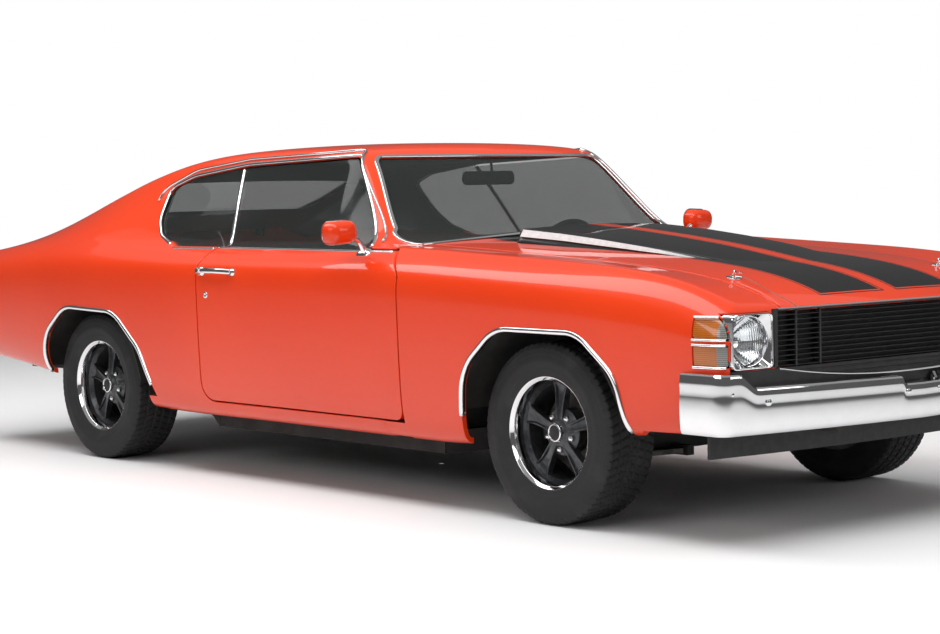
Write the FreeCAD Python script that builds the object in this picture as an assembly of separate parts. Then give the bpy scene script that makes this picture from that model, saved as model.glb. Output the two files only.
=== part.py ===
import FreeCAD
import Part

import math
import os

# Two-door hardtop muscle car, as an assembly of separate pieces. Millimetres.
# +X points to the nose, +Y to the car's left, +Z up. The origin is on the floor under the
# middle of the car. The painted panels are all cut from one envelope, a cubic net of cross
# sections from nose to tail, so doors, fenders, lids and glass line up along their gaps.

V = FreeCAD.Vector

# ---- overall sizes
length = 5017.0
wheelbase = 2845.0
front_overhang = 940.0
front_track = 1524.0
rear_track = 1519.0
nose_x = length / 2
tail_x = -length / 2
front_axle_x = nose_x - front_overhang
rear_axle_x = front_axle_x - wheelbase

# ---- wheels, brakes and steering
tyre_radius = 318.0
tyre_width = 235.0
tread_width = 196.0
rim_radius = 190.5
rim_width = 190.0
rim_wall = 7.0
flange_height = 13.0
spokes = 5
stud_circle = 120.65
stud_radius = 6.0
mount_face = 9.0        # wheel's mounting face, outboard of its middle plane
disc_radius = 132.0
brake_gap = 4.0         # between a turning brake part and what is fixed beside it
ball_gap = 0.5          # between the steered upright and the ball joints that carry it
kingpin_offset = 100.0  # steering axis to wheel middle, at hub height
kingpin_lean = 8.0      # degrees, top inboard
hub_z = tyre_radius
arch_clearance = 41.0   # tyre to the lip of a wheel arch

# ---- sheet metal and glass
skin = 20.0             # a panel with its folded edges
sheet = 6.0             # floors and inner panels
gap = 9.0               # between a moving panel and what it closes against
seat_gap = 0.3          # between pieces that touch
glass_inset = 7.0       # glass behind the body surface
glass = 5.0

# ---- where the panels part
door_front_x = 868.0
door_rear_x = -405.0
door_bottom_z = 318.0
door_top_x = 768.0      # front edge at the belt
door_lean_z = 850.0     # height where the front edge starts to lean back
door_inner_y = 812.0
belt_z = 934.0
hood_front_x = 2410.0
hood_rear_x = 745.0
cowl_gap = 16.0         # hood's rear edge to the cowl, which it swings back towards
hood_half = 655.0
lid_front_x = -1905.0
lid_gap = 12.0          # trunk lid's front edge to the deck
lid_half = 640.0
divider_low_x = -352.0   # line between door glass and quarter glass, at the belt
divider_top_x = -470.0   # and at the roof
sill_inner_y = 800.0
sill_bottom_z = 256.0
cowl_bar_y = (750.0, 788.0)   # joins cowl and hinge pillar, inboard of the door's swing
cowl_seam_x = 765.0     # where fender and cowl meet, at the foot of the windshield pillar
nose_split_z = 404.0    # nose panel above, valance below
grille_half = 672.0
grille_low_z = 572.0
grille_high_z = 770.0
bezel_y = (686.0, 878.0)  # square bezel of each head lamp
bezel_z = (577.0, 758.0)
lamp_radius = 84.0
grille_bars = 9
grille_bar = 7.0
grille_posts = (457.0, 574.0)

# ---- hinges
door_hinge_back = 90.0  # door's front edge to its hinge line
door_hinge_y = 922.0
door_hinge_z = (560.0, 800.0)
hinge_pin = 6.0
hood_hinge_x = hood_rear_x + 24.0
hood_hinge_y = 560.0
lid_hinge_x = lid_front_x - 22.0
lid_hinge_y = 470.0
hinge_drop = 14.0       # hinge line of hood and lid below the surface
lid_pin = 4.0

# ---- raised middle of the hood: x, half width and rise above the hood, from its open rear end
dome_rows = (
    (930.0, 372.0, 50.0),
    (1150.0, 368.0, 44.0),
    (1400.0, 352.0, 30.0),
    (1650.0, 325.0, 14.0),
    (1850.0, 290.0, -2.0),
    (2000.0, 250.0, -12.0),
)
dome_flare = 26.0
dome_bulge = 8.0
dome_sink = 50.0

# ---- front bumper
bumper_ahead = 50.0     # its face ahead of the nose line
bumper_half = 952.0
bumper_corner = 55.0
bumper_wall = 12.0
bumper_reach = 48.0     # how far its top and bottom edges are turned back
bumper_end_x = 2274.0
valance_back = 100.0    # valance behind the nose line

# ---- seats
seat_width = 500.0
seat_inner_y = 190.0

# ---- envelope
# x: station, sill: lower edge, wide: half width, shoulder: where the side turns in,
# belt_y, belt_h: top of the side, edge_y, edge_h: roof rail or lid edge, crown: centreline,
# lead: how far the centreline runs ahead of the side
columns = ("x", "sill", "wide", "shoulder", "belt_y", "belt_h", "edge_y", "edge_h", "crown", "lead")
stations = (
    (2560.0, 372.0, 886.0, 640.0, 815.0, 690.0, 600.0, 700.0, 704.0, 0.0),
    (2420.0, 370.0, 912.0, 690.0, 838.0, 772.0, 620.0, 768.0, 774.0, 0.0),
    (2250.0, 366.0, 934.0, 735.0, 852.0, 852.0, 640.0, 838.0, 846.0, 0.0),
    (1950.0, 340.0, 952.0, 770.0, 858.0, 897.0, 650.0, 882.0, 894.0, 0.0),
    (1560.0, 290.0, 960.0, 795.0, 858.0, 916.0, 660.0, 910.0, 924.0, 0.0),
    (1180.0, 252.0, 956.0, 812.0, 852.0, 932.0, 680.0, 928.0, 942.0, 0.0),
    (960.0, 250.0, 951.0, 822.0, 846.0, 942.0, 700.0, 940.0, 952.0, 0.0),
    (770.0, 250.0, 948.0, 830.0, 838.0, 946.0, 736.0, 946.0, 958.0, 40.0),
    (640.0, 250.0, 945.0, 834.0, 832.0, 947.0, 742.0, 954.0, 968.0, 100.0),
    (535.0, 250.0, 945.0, 836.0, 827.0, 947.0, 718.0, 1040.0, 1056.0, 110.0),
    (400.0, 250.0, 945.0, 836.0, 821.0, 946.0, 670.0, 1198.0, 1214.0, 90.0),
    (296.0, 250.0, 944.0, 836.0, 817.0, 945.0, 634.0, 1306.0, 1326.0, 60.0),
    (180.0, 250.0, 944.0, 836.0, 814.0, 944.0, 622.0, 1316.0, 1341.0, 26.0),
    (-30.0, 250.0, 944.0, 836.0, 812.0, 943.0, 618.0, 1322.0, 1347.0, 10.0),
    (-300.0, 250.0, 946.0, 836.0, 812.0, 942.0, 616.0, 1318.0, 1345.0, 0.0),
    (-600.0, 250.0, 952.0, 836.0, 820.0, 943.0, 618.0, 1310.0, 1337.0, 0.0),
    (-900.0, 262.0, 960.0, 836.0, 836.0, 949.0, 620.0, 1280.0, 1306.0, 0.0),
    (-1200.0, 300.0, 964.0, 834.0, 850.0, 956.0, 628.0, 1214.0, 1230.0, 0.0),
    (-1500.0, 345.0, 960.0, 828.0, 858.0, 952.0, 644.0, 1116.0, 1116.0, 0.0),
    (-1760.0, 378.0, 950.0, 818.0, 850.0, 936.0, 660.0, 1024.0, 1014.0, 0.0),
    (-2020.0, 400.0, 936.0, 804.0, 834.0, 914.0, 668.0, 954.0, 950.0, 0.0),
    (-2280.0, 415.0, 918.0, 786.0, 813.0, 888.0, 664.0, 906.0, 912.0, 0.0),
    (-2560.0, 425.0, 892.0, 762.0, 784.0, 856.0, 648.0, 866.0, 876.0, 0.0),
)


# ---- small helpers

def box(x0, x1, y0, y1, z0, z1):
    return Part.makeBox(x1 - x0, y1 - y0, z1 - z0, V(x0, y0, z0))


def both(shape):
    return Part.makeCompound([shape, mirrored(shape)])


def mirrored(shape):
    return shape.mirror(V(0, 0, 0), V(0, 1, 0))


def rounded(points):
    # closed wire through (a, b, radius) corners in the plane, each corner a tangent arc
    corners = [V(p[0], p[1], 0) for p in points]
    radii = [p[2] if len(p) > 2 else 0.0 for p in points]
    edges = []
    ends = []
    count = len(corners)
    for i in range(count):
        here = corners[i]
        back = (corners[i - 1] - here).normalize()
        ahead = (corners[(i + 1) % count] - here).normalize()
        if radii[i] <= 0:
            ends.append((here, here, None))
            continue
        half = back.getAngle(ahead) / 2
        reach = radii[i] / math.tan(half)
        middle = (back + ahead).normalize()
        centre = here + middle * (radii[i] / math.sin(half))
        ends.append((here + back * reach, here + ahead * reach, centre - middle * radii[i]))
    for i in range(count):
        start, stop, through = ends[i]
        if through is not None:
            edges.append(Part.Arc(start, through, stop).toShape())
        after = ends[(i + 1) % count][0]
        if stop.distanceToPoint(after) > 1e-6:
            edges.append(Part.LineSegment(stop, after).toShape())
    return Part.Wire(edges)


def plate_xz(points, y0, y1):
    # corners are (x, z, radius)
    face = Part.Face(rounded(points))
    face.rotate(V(0, 0, 0), V(1, 0, 0), 90)
    face.translate(V(0, y0, 0))
    return face.extrude(V(0, y1 - y0, 0))


def plate_xy(points, z0, z1):
    face = Part.Face(rounded(points))
    face.translate(V(0, 0, z0))
    return face.extrude(V(0, 0, z1 - z0))


def plate_yz(points, x0, x1):
    # corners are (y, z, radius)
    face = Part.Face(rounded(points))
    face.rotate(V(0, 0, 0), V(1, 1, 1), 120)
    face.translate(V(x0, 0, 0))
    return face.extrude(V(x1 - x0, 0, 0))


def turned(points, x, z, y=0.0):
    # solid of revolution about an axle along Y: points are (radius, y offset, corner radius)
    face = Part.Face(rounded(points))
    solid = face.revolve(V(0, 0, 0), V(0, 1, 0), 360)
    solid.translate(V(x, y, z))
    return solid


def rod(start, stop, radius):
    line = stop - start
    return Part.makeCylinder(radius, line.Length, start, line)


def beam(start, stop, wide, high):
    # square-edged bar between two points, its height kept in the vertical plane
    line = stop - start
    side = V(0, 0, 1).cross(line).normalize()
    up = line.cross(side).normalize()
    corners = []
    for a, b in ((-1, -1), (1, -1), (1, 1), (-1, 1)):
        corners.append(start + side * (a * wide / 2) + up * (b * high / 2))
    return Part.Face(Part.makePolygon(corners + corners[:1])).extrude(line)


def bent_sheet(path, y0, y1):
    # folded sheet of even thickness whose middle follows an (x, z) path
    points = [V(x, 0, z) for x, z in path]
    rows = ([], [])
    for i, here in enumerate(points):
        runs = []
        if i:
            runs.append((here - points[i - 1]).normalize())
        if i + 1 < len(points):
            runs.append((points[i + 1] - here).normalize())
        along = sum(runs[1:], runs[0]).normalize()
        across = V(-along.z, 0, along.x)
        reach = sheet / 2 / (across.dot(V(-runs[0].z, 0, runs[0].x)))
        rows[0].append(here + across * reach)
        rows[1].append(here - across * reach)
    ring = rows[0] + rows[1][::-1]
    return plate_xz([(p.x, p.z) for p in ring], y0, y1)


def fuse(shapes):
    result = shapes[0]
    if len(shapes) > 1:
        result = shapes[0].fuse(shapes[1:])
    return result.removeSplitter()


def save(name, shape):
    shape.exportStep("parts/" + name + ".step")
    print(name, len(shape.Solids), round(shape.Volume / 1e6, 2), shape.isValid())


# ---- envelope

def section(row, inset):
    # poles of one cross section, from the sill to the centreline, moved inward by inset
    s = dict(zip(columns, row))
    side = s["shoulder"] - s["sill"]
    rise_y = s["edge_y"] - s["belt_y"]
    rise_z = s["edge_h"] - s["belt_h"]
    crown = s["crown"] - s["edge_h"]
    points = [
        (s["wide"] - 80, s["sill"]),
        (s["wide"] - 26, s["sill"] + 8),
        (s["wide"] - 10, s["sill"] + 0.38 * side),
        (s["wide"] - 1, s["shoulder"] - 60),
        (s["wide"], s["shoulder"] - 8),
        (s["wide"] - 14, s["shoulder"] + 0.42 * (s["belt_h"] - s["shoulder"])),
        (s["belt_y"] + 22, s["belt_h"] - 14),
        (s["belt_y"] - 6, s["belt_h"] + 2),
        (s["belt_y"] + 0.22 * rise_y, s["belt_h"] + 0.22 * rise_z),
        (s["belt_y"] + 0.88 * rise_y, s["belt_h"] + 0.88 * rise_z),
        (s["edge_y"], s["edge_h"]),
        (0.86 * s["edge_y"], s["edge_h"] + 0.42 * crown),
        (0.45 * s["edge_y"], s["edge_h"] + 0.97 * crown),
        (0.0, s["edge_h"] + 0.97 * crown),
    ]
    poles = []
    for i, (y, z) in enumerate(points):
        before = points[max(i - 1, 0)]
        after = points[min(i + 1, len(points) - 1)]
        run = math.hypot(after[0] - before[0], after[1] - before[1])
        inward = ((before[1] - after[1]) / run, (after[0] - before[0]) / run)
        if i == len(points) - 1:
            inward = (0.0, -1.0)
        y = y + inset * inward[0]
        z = z + inset * inward[1]
        ahead = s["lead"] * (1 - (y / s["edge_y"]) ** 2) if y < s["edge_y"] else 0.0
        poles.append(V(s["x"] + ahead, y, z))
    return poles


def net_surface(inset, side):
    poles = []
    for row in stations:
        poles.append([V(p.x, p.y * side, p.z) for p in section(row, inset)])
    return spline_surface(poles)


def spline_surface(poles):
    # cubic both ways, clamped at its ends, evenly spaced knots
    counts = (len(poles), len(poles[0]))
    knots = [list(range(n - 2)) for n in counts]
    mults = [[4] + [1] * (n - 4) + [4] for n in counts]
    surface = Part.BSplineSurface()
    surface.buildFromPolesMultsKnots(poles, mults[0], mults[1], knots[0], knots[1], False, False, 3, 3)
    return surface


def envelope(inset):
    left = net_surface(inset, 1).toShape()
    right = net_surface(inset, -1).toShape()
    u0, u1, v0, v1 = left.ParameterRange
    surfaces = (net_surface(inset, 1), net_surface(inset, -1))
    low = [s.vIso(v0).toShape() for s in surfaces]
    faces = [left, right, Part.makeRuledSurface(low[0], low[1])]
    for u in (u0, u1):
        ends = [s.uIso(u).toShape() for s in surfaces]
        a = surfaces[0].value(u, v0)
        b = surfaces[1].value(u, v0)
        faces.append(Part.Face(Part.Wire([ends[0], ends[1], Part.LineSegment(b, a).toShape()])))
    shell = Part.makeShell(faces)
    shell.sewShape()
    solid = Part.makeSolid(shell)
    if solid.Volume < 0:
        solid.reverse()
    return solid


def below(inset):
    # the space straight under the envelope's floor
    low = [net_surface(inset, s).vIso(0).toShape() for s in (1, -1)]
    return Part.makeRuledSurface(low[0], low[1]).extrude(V(0, 0, -60))


# ---- outlines shared by the panels

# wheel openings seen from the side: distance ahead of the axle, height, corner radius
front_arch_corners = (
    (452.0, 0.0, 0.0),
    (446.0, 330.0, 0.0),
    (404.0, 540.0, 170.0),
    (240.0, 677.0, 150.0),
    (-165.0, 677.0, 190.0),
    (-345.0, 530.0, 200.0),
    (-372.0, 280.0, 0.0),
    (-372.0, 0.0, 0.0),
)
rear_arch_corners = (
    (600.0, 0.0, 0.0),
    (556.0, 270.0, 0.0),
    (440.0, 505.0, 200.0),
    (265.0, 655.0, 180.0),
    (-130.0, 665.0, 200.0),
    (-338.0, 520.0, 180.0),
    (-326.0, 350.0, 0.0),
    (-326.0, 0.0, 0.0),
)
front_arch = [(front_axle_x + x, z, r) for x, z, r in front_arch_corners]
rear_arch = [(rear_axle_x + x, z, r) for x, z, r in rear_arch_corners]
side_window = [
    (600.0, belt_z),
    (284.0, 1288.0, 24.0),
    (-440.0, 1262.0, 500.0),
    (-800.0, 1219.0, 260.0),
    (-936.0, 1174.0, 34.0),
    (-902.0, 1046.0, 120.0),
    (-836.0, 982.0, 60.0),
    (-700.0, belt_z, 90.0),
]


def door_shape(grow):
    # door seen from the side; its front edge leans back above the shoulder
    return [
        (door_rear_x + gap / 2 - grow, belt_z + grow),
        (door_rear_x + gap / 2 - grow, door_bottom_z - grow, 70.0 + grow),
        (door_front_x - gap / 2 + grow, door_bottom_z - grow, 40.0 + grow),
        (door_front_x - gap / 2 + grow, door_lean_z, 60.0),
        (door_top_x - gap / 2 + grow, belt_z + grow),
    ]


def nose_prism(ahead, z0, z1, half=1000.0):
    # everything behind the bowed nose line
    bow = 76.0
    front = nose_x - 50.0 + ahead
    arc = Part.Arc(V(front - bow, -960, z0), V(front, 0, z0), V(front - bow, 960, z0)).toShape()
    back = [V(front - bow, 960, z0), V(900, 960, z0), V(900, -960, z0), V(front - bow, -960, z0)]
    edges = [arc] + [Part.LineSegment(a, b).toShape() for a, b in zip(back, back[1:])]
    scoop = Part.Face(Part.Wire(edges)).extrude(V(0, 0, z1 - z0))
    return scoop.common(box(0, 2600, -half, half, z0, z1))


def hood_plan(grow):
    # plan of the hood, or of its hole when grow is the gap
    front = hood_front_x + grow
    half = hood_half + grow
    rear = hood_rear_x - grow * cowl_gap / gap
    return [
        (rear, -half),
        (front - 60, -half + 35, 40.0),
        (front - 10, -250, 400.0),
        (front - 10, 250, 400.0),
        (front - 60, half - 35, 40.0),
        (rear, half),
    ]


def lid_plan(grow):
    front = lid_front_x + grow * lid_gap / gap
    half = lid_half + grow
    return [
        (front, -half, 40.0),
        (tail_x - 100, -half),
        (tail_x - 100, half),
        (front, half, 40.0),
    ]


outer = envelope(0.0)
inner = envelope(skin)
inner_floor = below(skin).fuse(box(-2540, 2540, -850, 850, 150, 250 + skin + 4))
glass_outer = envelope(glass_inset)
glass_inner = envelope(glass_inset + glass)
shell = outer.cut(inner).cut(inner_floor)
glass_shell = glass_outer.cut(glass_inner)


# ---- painted panels

def windshield_cut(grow):
    # seen along X: the opening between the pillars, from cowl to roof
    half = [
        (0, 995 + grow),
        (764 - 2 * grow, 956 + grow, 20.0),
        (700 - grow, 1008),
        (588 - grow, 1282 - grow, 50.0),
    ]
    left = plate_yz(half + [(0, 1282 - grow)], 200, 900)
    return left.fuse(mirrored(left)).removeSplitter()


def rear_window_cut(grow):
    base = 575.0 - grow
    top = 520.0 - grow
    corners = [
        (-base, 1062 + grow, 60.0),
        (base, 1062 + grow, 60.0),
        (top, 1272 - grow, 60.0),
        (-top, 1272 - grow, 60.0),
    ]
    return plate_yz(corners, -1800, -900)


def front_fenders():
    fender = shell.common(box(cowl_seam_x, 2600, 600, 1000, 200, 1100))
    fender = fender.cut(plate_xz(door_shape(gap), 560, 1000))
    fender = fender.cut(box(0, door_front_x + gap / 2, 600, 1000, 200, door_lean_z))
    fender = fender.cut(plate_xy(hood_plan(gap), 700, 1200))
    fender = fender.cut(plate_xz(front_arch, 500, 1000))
    fender = fender.common(nose_prism(-60.0, 0, 1200))
    lip = [(2600, 0), (2600, 366), (2060, 366), (2020, 330), (2000, 0)]
    fender = fender.cut(plate_xz(lip, 500, 1000))
    fender = fender.cut(marker_boxes(seat_gap))
    fender = fender.cut(box(2200, 2600, 500, grille_half, grille_low_z, grille_high_z))
    fender = fender.cut(box(2200, 2600, bezel_y[0], bezel_y[1], bezel_z[0], bezel_z[1]))
    return both(biggest(fender))


def biggest(shape):
    return max(shape.Solids, key=lambda s: s.Volume)


def marker_boxes(grow):
    # left side's two stacked corner lamps
    lamps = []
    for z in (588, 675):
        lamps.append(box(2303 - grow, 2600, 884 - grow, 1000, z - grow, z + 74 + grow))
    return lamps[0].fuse(lamps[1])


def hood():
    panel = shell.common(plate_xy(hood_plan(0.0), 600, 1200))
    panel = fuse([biggest(panel), cowl_dome()])
    return with_hinges(panel, hood_hinge_x, hood_hinge_y, 1)


def cowl_dome():
    # raised centre of the hood: rows run forward from the open rear face to the faired nose
    wires = []
    for x, half, rise in dome_rows:
        crown = surface_height(x)
        top = crown + rise
        left = V(x, half, top)
        right = V(x, -half, top)
        foot = V(x, half + dome_flare, crown - dome_sink)
        other = V(x, -half - dome_flare, crown - dome_sink)
        over = Part.Arc(right, V(x, 0, top + dome_bulge), left).toShape()
        sides = [(other, right), (left, foot), (foot, other)]
        lines = [Part.LineSegment(a, b).toShape() for a, b in sides]
        wires.append(Part.Wire([lines[0], over, lines[1], lines[2]]))
    dome = Part.makeLoft(wires, True, True)
    return dome.cut(envelope(skin / 2))


def surface_height(x, y=0.0):
    hit = outer.common(Part.LineSegment(V(x, y, 500), V(x, y, 1500)).toShape())
    return hit.BoundBox.ZMax


def lid_hinge(x, y, ahead):
    # one hinge of a lid that lies ahead (1) or astern (-1) of its axis: the fixed arm with its pin,
    # the lid's lugs round the pin, and the slot cut in the lid for the arm
    z = surface_height(x, y) - hinge_drop
    wide = 8
    slot = wide + 5

    def block(near, far, side, z0, z1):
        ends = sorted((x + ahead * near, x + ahead * far))
        return box(ends[0], ends[1], y - side, y + side, z + z0, z + z1)

    pin = Part.makeCylinder(lid_pin, 2 * slot + 40, V(x, y - slot - 20, z), V(0, 1, 0))
    eye = Part.makeCylinder(lid_pin + 1, 2 * wide, V(x, y - wide, z), V(0, 1, 0))
    drop = block(-5, 5, wide, -36, 0)
    reach = block(-58, 5, wide, -36, -24)
    rise = block(-58, -44, wide, -36, 8)
    arm = fuse([pin, eye, drop, reach, rise])
    hole = Part.makeCylinder(lid_pin + seat_gap, 2 * slot + 42, V(x, y - slot - 21, z), V(0, 1, 0))
    lugs = block(-10, 10, slot + 20, -8, 0)
    cutter = block(-40, 12, slot, -60, hinge_drop - 4)
    return arm, lugs, cutter.fuse(hole)


def with_hinges(panel, x, y, ahead):
    for s in (1, -1):
        arm, lugs, cutter = lid_hinge(x, s * y, ahead)
        panel = panel.fuse(lugs).cut(cutter)
    return biggest(panel)


def trunk_lid():
    panel = shell.common(plate_xy(lid_plan(-gap), 700, 1200))
    panel = panel.common(tail_prism(-4.0, 0, 1300))
    return with_hinges(biggest(panel), lid_hinge_x, lid_hinge_y, -1)


def tail_prism(ahead, z0, z1):
    back = tail_x + 40.0 - ahead
    bow = 60.0
    arc = Part.Arc(V(back + bow, -960, z0), V(back, 0, z0), V(back + bow, 960, z0)).toShape()
    rest = [V(back + bow, 960, z0), V(-500, 960, z0)]
    rest += [V(-500, -960, z0), V(back + bow, -960, z0)]
    edges = [arc] + [Part.LineSegment(a, b).toShape() for a, b in zip(rest, rest[1:])]
    return Part.Face(Part.Wire(edges)).extrude(V(0, 0, z1 - z0))


def body_shell():
    body = shell.common(box(-2600, hood_rear_x + 150, -1000, 1000, 240, 1400))
    body = body.common(tail_prism(0.0, 0, 1400).fuse(box(-600, 1000, -1000, 1000, 0, 1400)))
    body = body.cut(both(box(cowl_seam_x - seat_gap, 1000, 600, 1000, 0, 1400)))
    body = body.cut(plate_xy(hood_plan(gap), 700, 1200))
    body = body.cut(plate_xy(lid_plan(0.0), 700, 1200))
    body = body.cut(windshield_cut(0.0))
    body = body.cut(rear_window_cut(0.0))
    for side in (1, -1):
        y0, y1 = sorted((side * 560, side * 1000))
        body = body.cut(plate_xz(side_window, y0, y1))
        body = body.cut(plate_xz(door_shape(gap), y0, y1))
        body = body.cut(plate_xz(rear_arch, y0, y1))
    body = biggest(body)
    tail = tail_prism(0.0, 0, 1400).cut(tail_prism(-skin, 0, 1400))
    panel = inner.common(tail).common(box(-2600, -2300, -1000, 1000, 430, 850))
    panel = panel.cut(box(-2600, -2300, -lid_half, lid_half, 700, 900))
    panel = panel.cut(tail_lamp_solids(seat_gap))
    pieces = [body, panel]
    lined = envelope(skin + seat_gap)
    for side in (1, -1):
        y0, y1 = sorted((side * sill_inner_y, side * 922))
        sill = box(-800, door_front_x + 4, y0, y1, sill_bottom_z, door_bottom_z - gap)
        pieces.append(sill.common(outer))
        y0, y1 = sorted((side * (sill_inner_y + 6), side * 914))
        pillar = box(door_front_x + 3, door_front_x + 60, y0, y1, sill_bottom_z, 940)
        pieces.append(pillar.common(lined))
        y0, y1 = sorted((side * cowl_bar_y[0], side * cowl_bar_y[1]))
        pieces.append(box(690, door_front_x + 60, y0, y1, 870, 960).common(lined))
        pieces.append(box(690, cowl_seam_x - 4, y0, y1, 870, 960).common(envelope(skin - 3)))
        y0, y1 = sorted((side * cowl_bar_y[0], side * (sill_inner_y + 8)))
        pieces.append(box(door_front_x + 40, door_front_x + 60, y0, y1, 870, 960).common(lined))
        post = Part.makeCylinder(12, 400, V(tail_x + 85, side * 480, 560), V(0, 0, 1))
        pieces.append(post.common(lined))
        y0, y1 = side * 480 - 20, side * 480 + 20
        pieces.append(box(tail_x + 40, tail_x + 100, y0, y1, 560, 690).common(inner))
        pieces.append(lid_hinge(hood_hinge_x, side * hood_hinge_y, 1)[0])
        pieces.append(lid_hinge(lid_hinge_x, side * lid_hinge_y, -1)[0])
        for z in door_hinge_z:
            strap = door_hinge(z)
            pieces.append(strap if side > 0 else mirrored(strap))
    return fuse(pieces)


def door_hinge(z):
    # left hinge: its arm runs inboard from the pin, then forward to the pillar
    x = hinge_x()
    y = door_hinge_y
    barrel = Part.makeCylinder(hinge_pin + 5, 40, V(x, y, z - 20), V(0, 0, 1))
    pin = Part.makeCylinder(hinge_pin, 84, V(x, y, z - 42), V(0, 0, 1))
    inboard = box(x - 6, x + 6, 824, y, z - 20, z + 20)
    forward = box(x - 6, door_front_x + 10, 824, 836, z - 20, z + 20)
    return fuse([barrel, pin, inboard, forward])


def hinge_x():
    return door_front_x - gap / 2 - door_hinge_back


def tail_lamp_solids(grow):
    lamps = []
    for side in (1, -1):
        for y in (600, 770):
            lamps.append(Part.makeCylinder(62 + grow, 70, V(tail_x + 30, side * y, 650), V(1, 0, 0)))
    return lamps[0].fuse(lamps[1:])


def nose_panel():
    # closes the nose round the grille and lamps, between the two fenders
    face = nose_prism(-24.0, 366, 1200).cut(nose_prism(-62.0, 300, 1300))
    face = face.common(envelope(skin + seat_gap)).common(box(2200, 2600, -1000, 1000, nose_split_z, 900))
    lip = shell.common(nose_prism(-24.0, 700, 1200)).common(box(2200, 2600, -620, 620, 740, 1000))
    panel = biggest(face).fuse(biggest(lip.cut(plate_xy(hood_plan(gap), 700, 1200))))
    panel = panel.cut(box(2200, 2600, -grille_half, grille_half, grille_low_z, grille_high_z))
    panel = panel.cut(both(bumper_arm(3.0)))
    for s in (1, -1):
        y0, y1 = sorted((s * bezel_y[0], s * bezel_y[1]))
        panel = panel.cut(box(2250, 2600, y0, y1, bezel_z[0], bezel_z[1]))
        panel = panel.cut(marker_boxes(seat_gap) if s > 0 else mirrored(marker_boxes(seat_gap)))
    return biggest(panel)


# ---- glass

def windshield():
    pane = glass_shell.common(windshield_cut(seat_gap))
    return biggest(pane)


def rear_window():
    return biggest(glass_shell.common(rear_window_cut(seat_gap)))


def door_window():
    outline = [
        (divider_low_x + gap / 2, belt_z + seat_gap),
        (587.0, belt_z + seat_gap),
        (278.0, 1277.0, 24.0),
        (-440.0, 1251.0),
        (divider_top_x + gap / 2, 1248.0),
    ]
    return biggest(glass_shell.common(plate_xz(outline, 600, 900)))


def quarter_window():
    pane = glass_shell.common(plate_xz(side_window, 500, 900))
    low = divider_low_x - gap / 2
    top = divider_top_x - gap / 2
    keep = plate_xz([(-1000, belt_z), (low, belt_z), (top, 1250), (top, 1400), (-1000, 1400)], 500, 900)
    return biggest(pane.common(keep))


# ---- wheels

def tyre_profile():
    half = tyre_width / 2
    tread = tread_width / 2
    bead = rim_radius + seat_gap
    seat = rim_width / 2 - 8
    return [
        (bead, -seat),
        (bead + 18, -seat - 6, 8.0),
        (0.5 * (bead + tyre_radius), -half, 34.0),
        (tyre_radius - 22, -half + 5, 14.0),
        (tyre_radius, -tread, 18.0),
        (tyre_radius, tread, 18.0),
        (tyre_radius - 22, half - 5, 14.0),
        (0.5 * (bead + tyre_radius), half, 34.0),
        (bead + 18, seat + 6, 8.0),
        (bead, seat),
        (bead + 14, seat - 12, 6.0),
        (tyre_radius - 16, half - 26, 40.0),
        (tyre_radius - 16, -half + 26, 40.0),
        (bead + 14, -seat + 12, 6.0),
    ]


def tyre(x, y):
    return turned(tyre_profile(), x, hub_z, y)


def wheel(x, y, side):
    # five-spoke wheel with its brake rotor or drum: side is +1 where the outer face looks along +Y
    half = rim_width / 2
    edge = rim_radius + flange_height
    barrel = [
        (edge, -half - 4),
        (edge, -half),
        (rim_radius, -half + 6),
        (rim_radius, -half + 30, 6.0),
        (rim_radius - 16, -20, 10.0),
        (rim_radius - 4, half - 34, 8.0),
        (rim_radius, half - 20),
        (rim_radius, half - 6),
        (edge, half),
        (edge, half + 4),
        (rim_radius - 3, half + 1),
        (rim_radius - 12, half - 20),
        (rim_radius - 16, half - 40),
        (rim_radius - 16 - rim_wall, -20, 10.0),
        (rim_radius - rim_wall, -half + 30, 6.0),
        (rim_radius - rim_wall, -half - 4),
    ]
    pieces = [turned(barrel, 0, 0)]
    hub = [
        (0.01, mount_face),
        (84, mount_face),
        (84, mount_face + 24, 6),
        (50, mount_face + 40, 6),
        (0.01, mount_face + 40),
    ]
    pieces.append(turned(hub, 0, 0))
    foot = rim_radius - 10
    arm = [(-17, 60), (17, 60), (30, foot), (-30, foot)]
    groove = [(-5, 88), (5, 88), (9, foot - 26, 6), (-9, foot - 26, 6)]
    for i in range(spokes):
        spoke = plate_xz(arm, mount_face + 6, mount_face + 34)
        spoke = spoke.cut(plate_xz(groove, mount_face + 22, mount_face + 40))
        spoke.rotate(V(0, 0, 0), V(0, 1, 0), 360.0 / spokes * i)
        pieces.append(spoke)
    rim = fuse(pieces)
    disc = [
        (40, mount_face - 58),
        (disc_radius, mount_face - 58),
        (disc_radius, mount_face - 36),
        (78, mount_face - 36),
        (78, mount_face - seat_gap),
        (40, mount_face - seat_gap),
    ]
    whole = Part.makeCompound([rim, turned(disc, 0, 0)])
    if side < 0:
        whole = whole.mirror(V(0, 0, 0), V(0, 1, 0))
    whole.translate(V(x, y, hub_z))
    return whole


# ---- running gear
spring_hat_z = 414.0
kick_bar_z = 466.0
gearbox_rear_x = 420.0
gearbox_z = 330.0

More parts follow.
